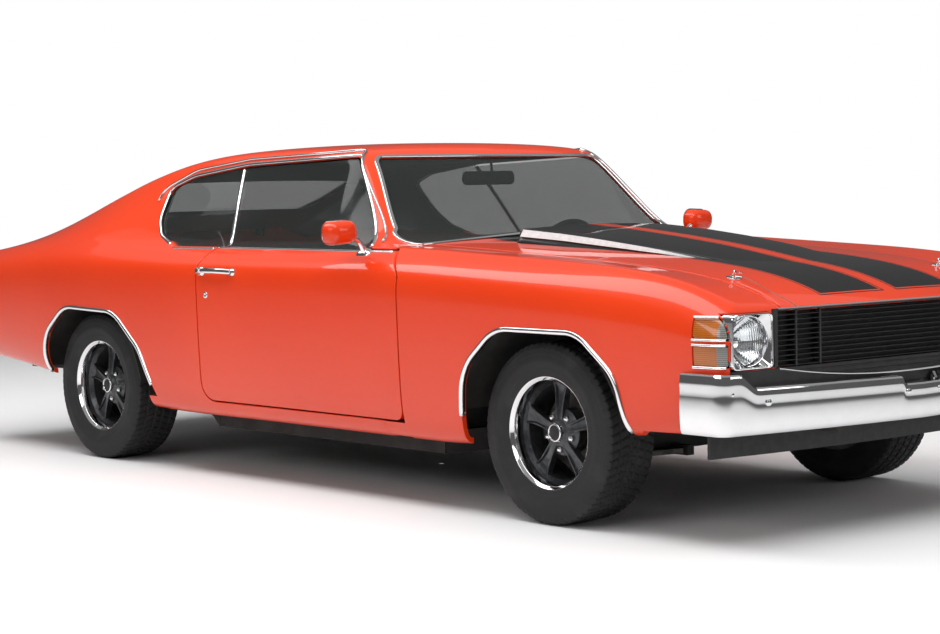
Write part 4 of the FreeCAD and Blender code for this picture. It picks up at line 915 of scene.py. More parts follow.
for name, ahead, keep, body, material in (
    ("noseSkin", 1, noseKeep, "body", paint), ("tailSkin", -1, tailKeep, "body", paint),
    ("lidTailSkin", -1, lidTailKeep, "trunk_lid", stripedPaint),
):
    points, tris, quads, normals = cutSheet(
        EndFace(ahead), np.linspace(-0.96, 0.96, 150), np.linspace(0.35, 0.92, 60), keep, depth=0.005)
    place(meshObject(name, points, tris, quads, normals), body, material)


# ---- glass and the bright trims round it

glassNet = Net(0.007)
trimLook = {"window": (0.015, 0.0055), "drip": (0.011, 0.010), "screen": (0.019, 0.0055),
            "arch": (0.019, 0.008)}


def grown(line, by):
    # a closed line moved outwards by an even distance
    nxt, last = np.roll(line, -1, 0), np.roll(line, 1, 0)
    turn = np.sign((line[:, 0] * nxt[:, 1] - nxt[:, 0] * line[:, 1]).sum())
    return line + unit((nxt - last)[:, ::-1] * (1, -1)) * turn * by


def opened(line, low):
    # a closed line cut below the height low, and started at the gap
    line = line[line[:, 1] > low]
    gaps = np.linalg.norm(np.diff(np.concatenate([line, line[:1]]), axis=0), axis=1)
    return np.roll(line, -int(np.argmax(gaps)) - 1, 0)


def mirroredY(array):
    return array * np.array([1, -1, 1])


def pane(name, node, keep, u, sides, body):
    # a pane 5 mm thick for each of the sides' ranges of v, all in one piece
    sheets = [cutSheet(glassNet, *glassNet.lines(0.02, u, v), keep, 0.001, 0.005, steps=2) for v in sides]
    points, quads, tris = joined([(points, quads, tris) for points, tris, quads, _ in sheets])
    made = meshObject(name, points, tris, quads, np.concatenate([sheet[3] for sheet in sheets]))
    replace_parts(place(made, body, glass), node)


def paneKeep(view, line, over, ahead=0):
    # inside a line seen in one view, grown by over; ahead keeps one end of the car
    def keep(p):
        return np.where(p[:, 0] * ahead >= 0.25 * abs(ahead), insideLine(p[:, view], line) + over, -1.0)
    return keep


doorGlassLine = roundedLine((
    (-347.5, 926), (600, 926), (278, 1279, 24), (-440, 1253), (-465.5, 1250)), 12)
quarterLine = roundedLine((
    (-356.5, 930), (-474.5, 1259), (-800, 1216, 260), (-932, 1172, 32), (-899, 1046, 120),
    (-834, 984, 60), (-702, 930, 86)), 14)
leftSide, rightSide, doorKept = (5.5, 10), (12, 16.5), paneKeep(sideView, doorGlassLine, 0)
for name, node, keep, u, sides, body in (
    ("windshieldPane", "windshield", paneKeep(frontView, windshieldLine, 0.004, 1), (6.5, 12),
     [(5, 17)], "body"),
    ("rearPane", "rear_window", paneKeep(frontView, rearWindowLine, 0.004, -1), (14, 20),
     [(7, 15)], "body"),
    ("doorPane_left", "door_window_left", doorKept, (6, 16), [leftSide], "door_left"),
    ("doorPane_right", "door_window_right", doorKept, (6, 16), [rightSide], "door_right"),
    ("quarterPanes", "quarter_windows", paneKeep(sideView, quarterLine, 0.003), (12, 18.5),
     [leftSide, rightSide], "body"),
):
    pane(name, node, keep, u, sides, body)


def bothTrims(name, path, normals, profile, bodies=("body", "body")):
    # the same bead on the left and the right of the car
    trim(name + "Left", path, normals, profile, bodies[0])
    trim(name + "Right", mirroredY(path), mirroredY(normals), profile, bodies[1])


openBelt = spread(grown(sideWindow, 0.007), 0.012)
aboveBelt = opened(np.roll(openBelt, -int(np.argmax(openBelt[:, 0])), 0), 0.937)
path, normals = skinNet.find(sideView, aboveBelt, (5.5, 19), (4, 10.5))
bothTrims("windowTrim", path, normals, halfRound(*trimLook["window"]))

dripLine = spread(roundedLine((
    (610, 962), (270, 1310, 40), (-430, 1288, 500), (-800, 1247, 300), (-985, 1172, 60), (-990, 1120)),
    14), 0.012, False)
path, normals = skinNet.find(sideView, dripLine, (5.5, 19), (4, 10.8))
bothTrims("dripRail", path, normals, halfRound(*trimLook["drip"]))

for name, line, u, v in (
    ("windshieldTrim", windshieldLine, (6, 13), (4, 18)),
    ("rearWindowTrim", rearWindowLine, (13, 20), (6, 16)),
):
    ring = spread(grown(line, 0.006), 0.012)
    path, normals = skinNet.find(frontView, ring, u, v)
    trim(name, path, normals, halfRound(*trimLook["screen"]), "body", closed=True)

# belt strips: along the foot of the door glass and the quarter glass
for name, x0, x1, level, bodies in (
    ("doorBelt", 0.752, -0.392, 0.9305, ("door_left", "door_right")),
    ("quarterBelt", -0.415, -0.690, 0.927, ("body", "body")),
):
    line = np.linspace((x0, level), (x1, level), 60)
    path, normals = skinNet.find(sideView, line, (5, 19), (4, 8))
    bothTrims(name, path, normals, halfRound(0.012, 0.005), bodies)

# divider between door glass and quarter glass
line = np.linspace((-0.3515, 0.938), (-0.4695, 1.250), 30)
path, normals = glassNet.find(sideView, line, (10, 17), (5, 10.5))
bothTrims("divider", path, normals, halfRound(0.020, 0.005, 0.004))

# wheel opening mouldings
for name, line, u in (("frontArchTrim", archFront, (0, 7)), ("rearArchTrim", archRear, (12, 20))):
    path, normals = skinNet.find(sideView, opened(spread(grown(line, 0.001), 0.012), 0.352), u, (0.2, 5))
    bothTrims(name, path, normals, halfRound(*trimLook["arch"], sunk=0.010))
print("glass and trims done")


# ---- tyres and wheels, made at the middle of the car facing +Y, then set at each corner

tyreLook = {"radius": 0.3180, "blocks": 66, "grooves": (0.020, 0.062), "deep": 0.007,
            "ribs": (0.2205, 0.2790)}


def tyreMesh():
    # radius is a function of angle and profile place: the profile runs from the inner bead over
    # the tread to the outer bead and back inside; grooves sink it by a pattern of both
    corners = (
        (-0.089, 0.1912, 0.001), (-0.100, 0.1960, 0.004), (-0.1045, 0.2080, 0.010),
        (-0.1172, 0.2520, 0.030),
        (-0.1105, 0.2960, 0.016), (-0.0985, 0.3145, 0.008), (0.0, 0.3182, 0.0), (0.0985, 0.3145, 0.008),
        (0.1105, 0.2960, 0.016), (0.1172, 0.2520, 0.030), (0.1045, 0.2080, 0.010), (0.100, 0.1960, 0.004),
        (0.089, 0.1912, 0.001), (0.082, 0.206, 0.004), (0.100, 0.250, 0.020), (0.086, 0.296, 0.016),
        (-0.086, 0.296, 0.016), (-0.100, 0.250, 0.020), (-0.082, 0.206, 0.004))
    line = spread(roundedLine(corners, 6, 1.0), 0.0042)
    y, r = line[:, 0], line[:, 1]
    steps = tyreLook["blocks"] * 6
    turn = np.arange(steps) * 2 * math.pi / steps
    outside = (r > 0.3105) & (np.abs(y) < 0.1005)
    side = np.abs(y)
    circle = sum((np.abs(side - at) < 0.0038).astype(float) for at in tyreLook["grooves"])
    part = (turn[:, None] / (2 * math.pi) * tyreLook["blocks"] + side * 11 + (y > 0) * 0.5) % 1
    cross = (part < 0.2).astype(float) * ((side > 0.062) | (side < 0.058))
    grooved = np.maximum(circle, cross * 0.8) * outside * tyreLook["deep"]
    grooved += cross * ((r > 0.285) & (r <= 0.3105) & (side > 0.09)) * 0.0025
    # raised ribs round the sidewall
    rib = sum(0.0011 * np.exp(-((r - at) / 0.0022) ** 2) for at in tyreLook["ribs"])
    y = y + np.sign(y) * rib * (side > 0.1015)
    r = np.clip(r - grooved, 0.19, tyreLook["radius"] - 0.0003)
    return loft(xyz(r * np.cos(turn)[:, None], y, r * np.sin(turn)[:, None]), True)


def spokeMesh():
    # one spoke along +Z: a channel section whose width and height change with the radius
    radius = np.array([0.046, 0.062, 0.080, 0.100, 0.122, 0.142, 0.158, 0.168, 0.1755])
    wide = np.array([0.0165, 0.0170, 0.0180, 0.0200, 0.0228, 0.0262, 0.0305, 0.0350, 0.0400])
    top = np.array([0.0475, 0.0480, 0.0470, 0.0450, 0.0425, 0.0400, 0.0385, 0.0390, 0.0400])
    deep = np.array([0.0, 0.002, 0.006, 0.0085, 0.0090, 0.0085, 0.0065, 0.003, 0.0])
    ridge = 0.0062
    rings = []
    for r, w, h, d in zip(radius, wide, top, deep):
        half = ((w, 0.014), (w, h - 0.002), (w - 0.002, h), (w - ridge, h), (w - ridge - 0.003, h - d))
        section = np.array([(-x, y) for x, y in half] + [(0.0, h - d - 0.0005)] + list(half[::-1]))
        rings.append(xyz(section[:, 0], section[:, 1], r))
    return loft(rings)


def nutMesh(radius, low, high, at):
    # a chamfered hexagon along Y with a domed end
    turn = np.arange(6) * math.pi / 3
    hexagon = np.stack([np.cos(turn), np.sin(turn)], 1)
    rings = []
    for level, size in ((low, radius), (high - 0.005, radius), (high - 0.0035, radius * 0.88),
                        (high - 0.001, radius * 0.66), (high, radius * 0.3)):
        ring = np.zeros((6, 3))
        ring[:, [0, 2]] = hexagon * size + np.array(at)
        ring[:, 1] = level
        rings.append(ring)
    return loft(rings)


rimCorners = (
    (0.2030, -0.099), (0.2030, -0.095), (0.1900, -0.088, 0.003), (0.1895, -0.062, 0.006),
    (0.172, -0.030, 0.010), (0.1735, 0.016, 0.008), (0.1885, 0.050, 0.008), (0.1885, 0.084, 0.004),
    (0.2030, 0.0940, 0.003), (0.2030, 0.0975), (0.1990, 0.0985, 0.002), (0.1835, 0.0820, 0.006),
    (0.1790, 0.0500, 0.010), (0.1680, 0.0300, 0.010), (0.1650, -0.0300, 0.010),
    (0.1820, -0.0640, 0.006), (0.1820, -0.0990))
hubCorners = (
    (0.0005, 0.0085), (0.0840, 0.0085), (0.0840, 0.0300, 0.006), (0.0600, 0.0375, 0.010),
    (0.0470, 0.0480, 0.006), (0.0400, 0.0500, 0.003), (0.0005, 0.0500))
ringCorners = (
    (0.2050, 0.0930), (0.2065, 0.0995, 0.002), (0.2030, 0.1015, 0.002), (0.1940, 0.0985, 0.004),
    (0.1835, 0.0890, 0.006), (0.1800, 0.0760, 0.004), (0.1785, 0.0620, 0.002), (0.1800, 0.0620),
    (0.1850, 0.0840, 0.004), (0.1990, 0.0960, 0.003))
capCorners = (
    (0.0005, 0.0470), (0.0340, 0.0470), (0.0345, 0.0600, 0.002), (0.0320, 0.0700, 0.003),
    (0.0270, 0.0715, 0.002), (0.0250, 0.0670, 0.002), (0.0005, 0.0665))
discCorners = (
    (0.040, -0.0490), (0.1320, -0.0490), (0.1320, -0.0270), (0.0780, -0.0270), (0.0780, 0.0084),
    (0.040, 0.0084))
faceCorners = ((0.0005, 0.0660), (0.0245, 0.0660), (0.0240, 0.0690, 0.001), (0.0005, 0.0695))


def spun(part, count):
    # copies of a part turned about the axle
    copies = []
    for a in 2 * math.pi * np.arange(count) / count:
        turn = np.array(((math.cos(a), 0, -math.sin(a)), (0, 1, 0), (math.sin(a), 0, math.cos(a))))
        copies.append((part[0] @ turn, *part[1:]))
    return copies


middle = (0, 0, 0)
nuts = [nutMesh(0.0105, 0.028, 0.052, (
    0.0600 * math.sin(a), 0.0600 * math.cos(a))) for a in 2 * math.pi * (np.arange(5) + 0.5) / 5]
wheelPieces = (
    ("treadTyre_", [tyreMesh()], rubber, "tyre_rubber", 50, "tyre_"),
    ("spokedRim_", [turned(rimCorners, middle), turned(hubCorners, middle), *spun(spokeMesh(), 5)],
     gunmetal, "wheel_metal", 32, "wheel_"),
    ("trimRing_", [turned(ringCorners, middle, steps=96), turned(capCorners, middle), *nuts],
     chrome, "chrome_trim", 32, None),
    ("capFace_", [turned(faceCorners, middle)], blackPlastic, "black_plastic", 32, None),
    ("brakeDisc_", [turned(discCorners, middle, steps=64, arc=3)], castSteel, "cast_steel", 32, None))
for corner, x, y, side in (
    ("front_left", frontAxle, 0.762, 1), ("front_right", frontAxle, -0.762, -1),
    ("rear_left", rearAxle, 0.7595, 1), ("rear_right", rearAxle, -0.7595, -1),
):
    for name, parts, material, slot, sharp, node in wheelPieces:
        piece(name + corner, moved(parts, (1, side, 1), (x / 1000, y, tyreLook["radius"])),
              "wheel_" + corner, material, slot, sharp, node and node + corner)
print("wheels done")


# ---- raised middle of the hood

domeRows = np.array(((0.930, 0.372, 0.050), (1.150, 0.368, 0.044), (1.400, 0.352, 0.030),
                     (1.650, 0.325, 0.014), (1.850, 0.290, -0.002), (2.000, 0.250, -0.012)))


def domeSurface():
    # height over the hood's crown is rise(x) across the flat top, easing over a rounded shoulder
    # and down a steep side to a small fillet at the foot; rows run from the open rear to the nose
    x = np.concatenate([np.linspace(0.926, 1.02, 8), np.linspace(1.03, 1.98, 70)])
    half = np.interp(x, domeRows[:, 0], domeRows[:, 1])
    rise = np.interp(x, domeRows[:, 0], domeRows[:, 2])
    crown = skinNet.find(planView, np.stack([x, np.zeros(len(x))], 1), (1, 8), (8, 11))[0][:, 2]
    flat = np.linspace(0, 1, 12)
    edge = np.array((1.010, 1.020, 1.028, 1.036, 1.046, 1.058, 1.070, 1.082, 1.094))
    drop = np.array((0.0010, 0.0030, 0.0070, 0.0130, 0.0210, 0.0310, 0.0400, 0.0480, 0.0640))
    across, fall = np.concatenate([flat, edge]), np.concatenate([0 * flat, drop])
    y = half[:, None] * across
    z = (crown + rise)[:, None] + 0.0095 * (1 - np.minimum(across, 1) ** 2) - fall + 0.0012
    z -= np.clip((0.945 - x) / 0.019, 0, 1)[:, None] ** 2 * 0.006
    left = xyz(x[:, None], y, z)
    whole = np.concatenate([left[:, :0:-1], mirroredY(left)], 1)
    count, ring = whole.shape[:2]
    ids = np.arange(count * ring).reshape(count, ring)
    quads = np.stack([ids[:-1, :-1], ids[1:, :-1], ids[1:, 1:], ids[:-1, 1:]], 2).reshape(-1, 4)
    # an underside at the foot's level closes it
    low = whole.copy()
    low[:, :, 2] = np.minimum(low[:, :, 2] - 0.004, low[:, :1, 2] - 0.0005)
    lower = ids + count * ring
    under = np.stack([lower[:-1, :-1], lower[:-1, 1:], lower[1:, 1:], lower[1:, :-1]], 2).reshape(-1, 4)
    rim = np.concatenate([ids[:, 0], ids[-1, 1:], ids[-2::-1, -1], ids[0, -2:0:-1]])
    nxt = np.roll(rim, -1)
    walls = np.stack([rim, nxt, nxt + count * ring, rim + count * ring], 1)
    points = np.concatenate([whole.reshape(-1, 3), low.reshape(-1, 3)])
    return points, np.concatenate([quads, under, walls]), None


piece("hoodDome", [domeSurface()], "hood", domePaint, "body_paint", 50)

# pale strip along each flank of the dome, and the dark mouth behind it
paleStrip = makePlain("paleStrip", (0.48, 0.48, 0.48), (0.56, 0.56, 0.56), 0.30, 0.0, 50.0,
                      0.03, 0.0002, 0.5)
xs = np.linspace(0.942, 1.80, 70)
halfs = np.interp(xs, domeRows[:, 0], domeRows[:, 1])
rises = np.interp(xs, domeRows[:, 0], domeRows[:, 2])
crowns = skinNet.find(planView, np.stack([xs, 0 * xs], 1), (1, 8), (8, 11))[0][:, 2]
tall = np.interp(xs, (0.94, 1.3, 1.55, 1.80), (0.0150, 0.0125, 0.0085, 0.0010))
lowered = 0.0190 * np.interp(xs, (0.9, 1.8), (1, 0.65)) - 0.0035
middle = xyz(xs, halfs * 1.047 + 0.0007, crowns + rises - lowered)
outFlank = unit(np.array((0.0, 0.86, 0.5)))
stripProfile = np.array(((-1, -0.002), (-1, 0.0012), (1, 0.0012), (1, -0.002)))
for label, side in (("Left", 1), ("Right", -1)):
    line, out = middle * np.array([1, side, 1]), outFlank * np.array([1, side, 1])
    upAlong = unit(np.cross(np.gradient(line, axis=0), out))
    rows = line[:, None] + upAlong[:, None] * (
        tall[:, None, None] * stripProfile[None, :, :1]) + out * stripProfile[None, :, 1:]
    piece("domeStrip" + label, [loft(rows)], "hood", paleStrip, "body_paint", 40)
ys = np.linspace(-0.352, 0.352, 45)
mouthTop = crowns[0] + rises[0] - 0.004 + 0.008 * (1 - (ys / 0.372) ** 2)
mouthLow = skinNet.find(planView, np.stack([0 * ys + 0.940, ys], 1), (1, 9), (8, 14))[0][:, 2] - 0.002
rows = np.stack([xyz(x, ys, z) for x, z in (
    (0.9245, mouthTop), (0.9245, mouthLow), (0.938, mouthLow), (0.938, mouthTop))], 1)
piece("domeMouth", [loft(rows)], "hood", blackGrille, "black_plastic", 40)

# ---- hood pins: a dished plate with its pin, cross clip and the cable to the grille

pinLook = {"x": 2.150, "side": 0.552,
           "cable": ((2.330, 0.575, 0.806), (2.436, 0.590, 0.785), (2.456, 0.592, 0.766))}
plateCorners = (
    (0.0004, -0.002), (0.026, -0.002), (0.027, 0.0012, 0.001), (0.019, 0.003, 0.002),
    (0.010, 0.0010, 0.001), (0.0004, 0.0010))
pinCorners = ((0.0004, 0.0), (0.0062, 0.0), (0.0062, 0.020, 0.001), (0.0045, 0.027, 0.002),
              (0.0004, 0.028))
for label, side in (("Left", 1), ("Right", -1)):
    spots, ups = skinNet.find(planView, np.array([[pinLook["x"], side * pinLook["side"]]]), (1, 6),
                              (8, 11) if side > 0 else (11, 14))
    spot, up = spots[0], ups[0]
    across = np.cross(up, (1.0, 0, 0))
    # each row is how far up, across and forward of the pin's foot
    cableLine, clipLine = (
        [spot + up * a + across * b + np.array((c, 0, 0)) for a, b, c in rows] for rows in (
        ((0.006, 0, 0), (0.010, 0, 0.05)),
        ((0.013, -0.018, 0), (0.014, 0, 0), (0.013, 0.030, 0), (0.016, 0.034, 0.012),
         (0.019, 0.012, 0.012))))
    cableLine += [np.array((x, side * y, z)) for x, y, z in pinLook["cable"]]
    piece("hoodPin" + label, [
        turned(plateCorners, spot, up, 40), turned(pinCorners, spot, up, 24),
        tube(smoothPath(clipLine, 24), 0.0019, 8), tube(smoothPath(cableLine, 40), 0.0014, 8),
    ], "hood", chrome, "chrome_trim", 40)
print("hood dome and pins done")


# ---- bumpers: a turned-edge section carried round the plan line

bumperLook = {"face": 2.5085, "bow": 0.050, "half": 0.952, "corner": 0.050, "end": 2.274}
boltCorners = ((0.0004, -0.006), (0.011, -0.006), (0.011, 0.001, 0.001), (0.0075, 0.0045, 0.002),
               (0.0004, 0.0055))


def frontPlan(face, bow, half, corner, end, step=0.010):
    # the bumper's face seen from above: a bowed front, round corners and a run back to end
    ys = np.linspace(half - 0.09, -half + 0.09, 60)
    line = [(end, half), (face - float(bowed(half, bow)), half, corner)]
    line += [(face - b, y) for y, b in zip(ys, bowed(ys, bow))]
    line += [(line[1][0], -half, corner), (end, -half)]
    return spread(roundedLine(line, 10, 1.0), step, closed=False)


def bladeMesh(line, low, high, section):
    # section points are (how far in from the face, share of the height, offset up)
    inward = unit(np.gradient(line, axis=0))[:, ::-1] * (1, -1)
    section = np.array(section)
    xy = line[:, None] + inward[:, None] * section[None, :, :1]
    z = low[:, None] + (high - low)[:, None] * section[None, :, 1] + section[None, :, 2]
    return loft(np.concatenate([xy, z[:, :, None]], 2))


def eased(value):
    # a smooth step over 0 to 1
    t = np.clip(value, 0, 1)
    return t ** 2 * (3 - 2 * t)


def frontTop(y):
    # the top edge's height: it climbs under the lamps and dips at the plate
    side = np.abs(y)
    return 0.514 + 0.015 * side + eased((side - 0.800) / 0.080) * 0.044 - eased(
        (0.112 - side) / 0.016) * 0.026


bladeSection = (
    (0.050, 1, -0.0030), (0.050, 1, 0.0), (0.020, 1, 0.0), (0.009, 1, -0.0016), (0.0030, 1, -0.0070),
    (0.0010, 1, -0.016), (0.0, 0.80, 0), (0.0012, 0.72, 0), (0.0004, 0.62, 0), (-0.0010, 0.45, 0),
    (0.0, 0.25, 0), (0.0030, 0, 0.016), (0.0060, 0, 0.0065), (0.0110, 0, 0.0015), (0.022, 0, 0.0),
    (0.050, 0, 0.0), (0.050, 0, 0.0030), (0.024, 0, 0.0035), (0.0105, 0, 0.0100), (0.0060, 0.3, 0),
    (0.0070, 0.7, 0), (0.0075, 0.85, 0), (0.0090, 1, -0.0100), (0.022, 1, -0.0035))
plan = frontPlan(**bumperLook)
lowLine = 0.365 + 0.009 * np.clip(np.abs(plan[:, 1]) / 0.9, 0, 1)
bolts = []
for y, z, ahead in ((0.906, 0.508, -0.006), (0.758, 0.475, 0.002), (0.086, 0.462, 0.002)):
    face = bumperLook["face"] - float(bowed(y, bumperLook["bow"])) + ahead
    bolts += [turned(boltCorners, (face, s * y, z), (1, 0, 0), 24) for s in (1, -1)]
piece("frontBlade", [bladeMesh(plan, lowLine, frontTop(plan[:, 1]), bladeSection), *bolts], "body",
      chrome, "chrome_trim", 30, node="front_bumper")

rearLook = {"face": -2.5085, "half": 0.915, "end": -2.360, "low": 0.395, "high": 0.545}
ys = np.linspace(0.895, -0.895, 90)[3:-3]
corner = (rearLook["face"] + 0.056, rearLook["half"], 0.040)
line = [(rearLook["end"], rearLook["half"]), corner, *zip(rearLook["face"] + bowed(ys, tailBow), ys)]
line += [(corner[0], -corner[1], corner[2]), (rearLook["end"], -rearLook["half"])]
line = spread(roundedLine(line, 10, 1.0), 0.012, False)
even = np.ones(len(line))
blade = bladeMesh(line, rearLook["low"] * even, rearLook["high"] * even,
                  [(-a, b, c) for a, b, c in bladeSection])
piece("rearBlade", [blade], "body", chrome, "chrome_trim", 30, node="rear_bumper")
print("bumpers done")


# ---- grille: thin bars following the nose, posts, and bright strips above and below

def noseAt(y):
    # where the nose's face is at y
    return noseFront - bowed(np.asarray(y, float), noseBow)


def nosePath(half, offset, z, count=60):
    # a line across the nose, offset ahead of it, at a height or a height function
    y = np.linspace(half, -half, count)
    return xyz(noseAt(y) + offset, y, z(y) if callable(z) else z)


def barMesh(path, section):
    # a section of (ahead, up) carried along a path across the nose
    ahead, up = np.array(section).T
    return loft(path[:, None] + xyz(ahead, 0, up)[None])


grilleLook = {"bars": 11, "thick": 0.0042, "deep": 0.024}
thick, deep = grilleLook["thick"] / 2, grilleLook["deep"]
barSection = ((0, -thick), (0.0025, -thick * 0.4), (0.0025, thick * 0.4), (0, thick), (-deep, thick),
              (-deep, -thick))
levels = np.linspace(0.581, 0.744, grilleLook["bars"])
parts = [barMesh(nosePath(0.668, -0.006, z), barSection) for z in levels]
parts.append(
    barMesh(nosePath(0.668, -0.030, 0.660), ((0, -0.084), (0, 0.100), (-0.004, 0.100), (-0.004, -0.084))))
for y in (0.457, -0.457, 0.574, -0.574):
    x = float(noseAt(y)) - 0.004
    parts.append(boxPart((x - 0.026, y - 0.004, 0.577), (x + 0.002, y + 0.004, 0.764), 0.0015))
piece("grilleBars", parts, "body", blackGrille, "black_grille", 30, node="grille")
stripSection = ((-0.014, -0.005), (0.0, -0.005), (0.004, -0.0015), (0.004, 0.0015), (0.0, 0.005),
                (-0.014, 0.005))


def lowEdge(y):
    # the lower bright strip hangs lowest in the middle
    return 0.574 - 0.049 * (1 - np.clip(np.abs(y) / 0.66, 0, 1) ** 2.2)


parts = [barMesh(nosePath(0.668, *level), stripSection) for level in ((0.002, 0.7635), (0.006, lowEdge))]
piece("grilleTrim", parts, "body", chrome, "chrome_trim", 30)
# painted shade: black sheets below the grille and beside it, where the panels lie in shadow, and bars
# carried down to the lower strip
shade = [barMesh(nosePath(0.8800, 0.0022, 0.540), (
    (0, -0.078), (0.0015, -0.076), (0.0015, 0.034), (0, 0.036), (-0.012, 0.036), (-0.012, -0.078)))]
for s in (1, -1):
    y = np.linspace(0.6690, 0.6858, 5)
    shade.append(barMesh(xyz(noseAt(y) + 0.0022, s * y, 0.672), (
        (0, -0.094), (0.0015, -0.094), (0.0015, 0.094), (0, 0.094), (-0.010, 0.094), (-0.010, -0.094))))
lowBar = ((-0.004, -thick), (0.0015, -thick), (0.0035, -thick * 0.4), (0.0035, thick * 0.4),
          (0.0015, thick), (-0.004, thick))
for z, half in ((0.5625, 0.560), (0.5440, 0.420)):
    shade.append(barMesh(nosePath(half, 0.0045, z), lowBar))
piece("paintedShadeSurround", shade, "body", blackGrille, "black_plastic", 30)
print("grille done")


# ---- head lamps: square bezel dished to a round fluted lens over a bright bowl

def rectangleRing(halfY, halfZ, corner, count):
    # a rounded rectangle and a circle met at the same even angles
    line = [(y, z, corner) for y, z in ((-halfY, -halfZ), (halfY, -halfZ), (halfY, halfZ),
                                        (-halfY, halfZ))]
    line = spread(roundedLine(line, 8, 1.0), 0.0015)
    turn = np.linspace(0, 2 * math.pi, count, endpoint=False)
    angle = np.arctan2(line[:, 1], line[:, 0])
    far = np.interp(turn, angle, np.linalg.norm(line, axis=1), period=2 * math.pi)
    circle = np.stack([np.cos(turn), np.sin(turn)], 1)
    return circle * far[:, None], circle


def bezelMesh(centre):
    # rows from the back edge round the square rim, down a dish and into the lamp's round well
    square, circle = rectangleRing(0.0945, 0.0890, 0.016, 96)
    rows = []
    for shape, size, ahead in (
        (square, 1.0, -0.060), (square, 1.0, -0.002), (square, 0.985, 0.0026), (square, 0.955, 0.0034),
        (square, 0.935, 0.0012), (square, 0.925, -0.0030), (circle, 0.0815, -0.0200),
        (circle, 0.0800, -0.0150), (circle, 0.0785, -0.0155), (circle, 0.0770, -0.0230),
        (circle, 0.0770, -0.060),
    ):
        y, z = centre[1] + shape[:, 0] * size, centre[2] + shape[:, 1] * size
        face = noseAt(y) if shape is square else centre[0] - 0.09 * (np.abs(y) - abs(centre[1]))
        rows.append(xyz(face + ahead, y, z))
    return loft(rows, True)


def lensMesh(centre, radius, bulge, flutes):
    # a shallow glass dome: smooth in front, upright flutes and two level bands behind
    rho = np.linspace(0.001, 1, 30)
    turn = np.linspace(0, 2 * math.pi, 140, endpoint=False)
    y = radius * rho[:, None] * np.cos(turn)
    z = radius * rho[:, None] * np.sin(turn)
    dome = bulge * (1 - rho[:, None] ** 2) + 0 * turn[None]
    fade = np.clip(1.5 - rho[:, None] * 1.5, 0, 1)
    wave = flutes * (np.abs((y / 0.011) % 1 - 0.5) * 2 - 0.5) * fade
    band = flutes * 0.7 * np.cos(z / 0.034 * 2 * math.pi) * fade
    front = centre + xyz(dome + 0.25 * wave, y, z)
    back = centre + xyz(dome - 0.006 + wave + band, y * 0.985, z * 0.985)
    return loft(np.concatenate([front, back[::-1]]))


def bowlMesh(centre, radius):
    # a bright bowl behind the lens: depth grows with the square of the radius
    rho = np.linspace(0.10, 1, 14)
    turn = np.linspace(0, 2 * math.pi, 72, endpoint=False)
    depth = -0.052 * (1 - rho ** 2) - 0.012
    inner = centre + xyz(depth[:, None], radius * rho[:, None] * np.cos(turn),
                         radius * rho[:, None] * np.sin(turn))
    return loft(np.concatenate([inner, inner[::-1] + np.array((-0.003, 0, 0))]), True)


lensGlass = makeLens("headLens", (0.96, 0.98, 0.99))
bright = makeChrome("reflectorBowl", 0.93, 0.05)
headLook = {"side": 0.782, "z": 0.6675, "radius": 0.0770}
bulbCorners = ((0.0004, 0), (0.012, 0), (0.012, 0.016, 0.004), (0.0004, 0.022))
bezels, lenses, bowls = [], [], []
for s in (1, -1):
    centre = np.array((float(noseAt(headLook["side"])), s * headLook["side"], headLook["z"]))
    bezels.append(bezelMesh(centre))
    lenses.append(lensMesh(centre - np.array((0.0200, 0, 0)), headLook["radius"], 0.020, 0.0016))
    bowls.append(bowlMesh(centre - np.array((0.024, 0, 0)), headLook["radius"] - 0.0005))
    bowls.append(turned(bulbCorners, centre - np.array((0.080, 0, 0)), (1, 0, 0), 24))
piece("lampBezels", bezels, "body", chrome, "chrome_trim", 30, node="front_lamps")
piece("headLenses", lenses, "body", lensGlass, "lamp_glass", 60)
piece("lampBowls", bowls, "body", bright, "chrome_trim", 60)


# ---- corner lamps: amber side and clear front in one wrapped lens, with bright bars

def makeCornerLens():
    # level reeds on both colours, which meet at x 2.3935
    f = Finish("cornerLens")
    x, _, z = f.axes()
    ridge = abs((z / 0.0065).maths("FRACT") - 0.5) * 2.0
    amberSide = f.mix(ridge.ramp(0.1, 0.9), rgb(0.36, 0.085, 0.004), rgb(0.52, 0.14, 0.008))
    clearFront = f.mix(ridge.ramp(0.1, 0.9), rgb(0.15, 0.145, 0.135), rgb(0.26, 0.255, 0.24))
    colour = f.mix(x.ramp(2.3930, 2.3940), amberSide, clearFront)
    return f.surface(Base_Color=colour, Roughness=0.16, Coat_Weight=1.0, Coat_Roughness=0.04,
                     Normal=f.bump(ridge, 0.25, 0.0005))


cornerLens = makeCornerLens()
lampNet = Net(0.003, wrap=True)


def levelPath(net, z, u, v=(0.6, 6.5), count=90):
    # points of the net at one height, by halving v for each u
    us = np.linspace(*u, count)
    a, b = np.full(count, v[0]), np.full(count, v[1])
    for _ in range(30):
        half = (a + b) / 2
        below = net.at(us, half)[:, 2] < z
        a, b = np.where(below, half, a), np.where(below, b, half)
    return net.at(us, a), net.normal(us, a)


def lensKeep(low):
    return lambda p: least(p[:, 0] - 2.3035, np.abs(p[:, 1]) - 0.8835, p[:, 2] - low - 0.0040,
                           low + 0.0700 - p[:, 2])


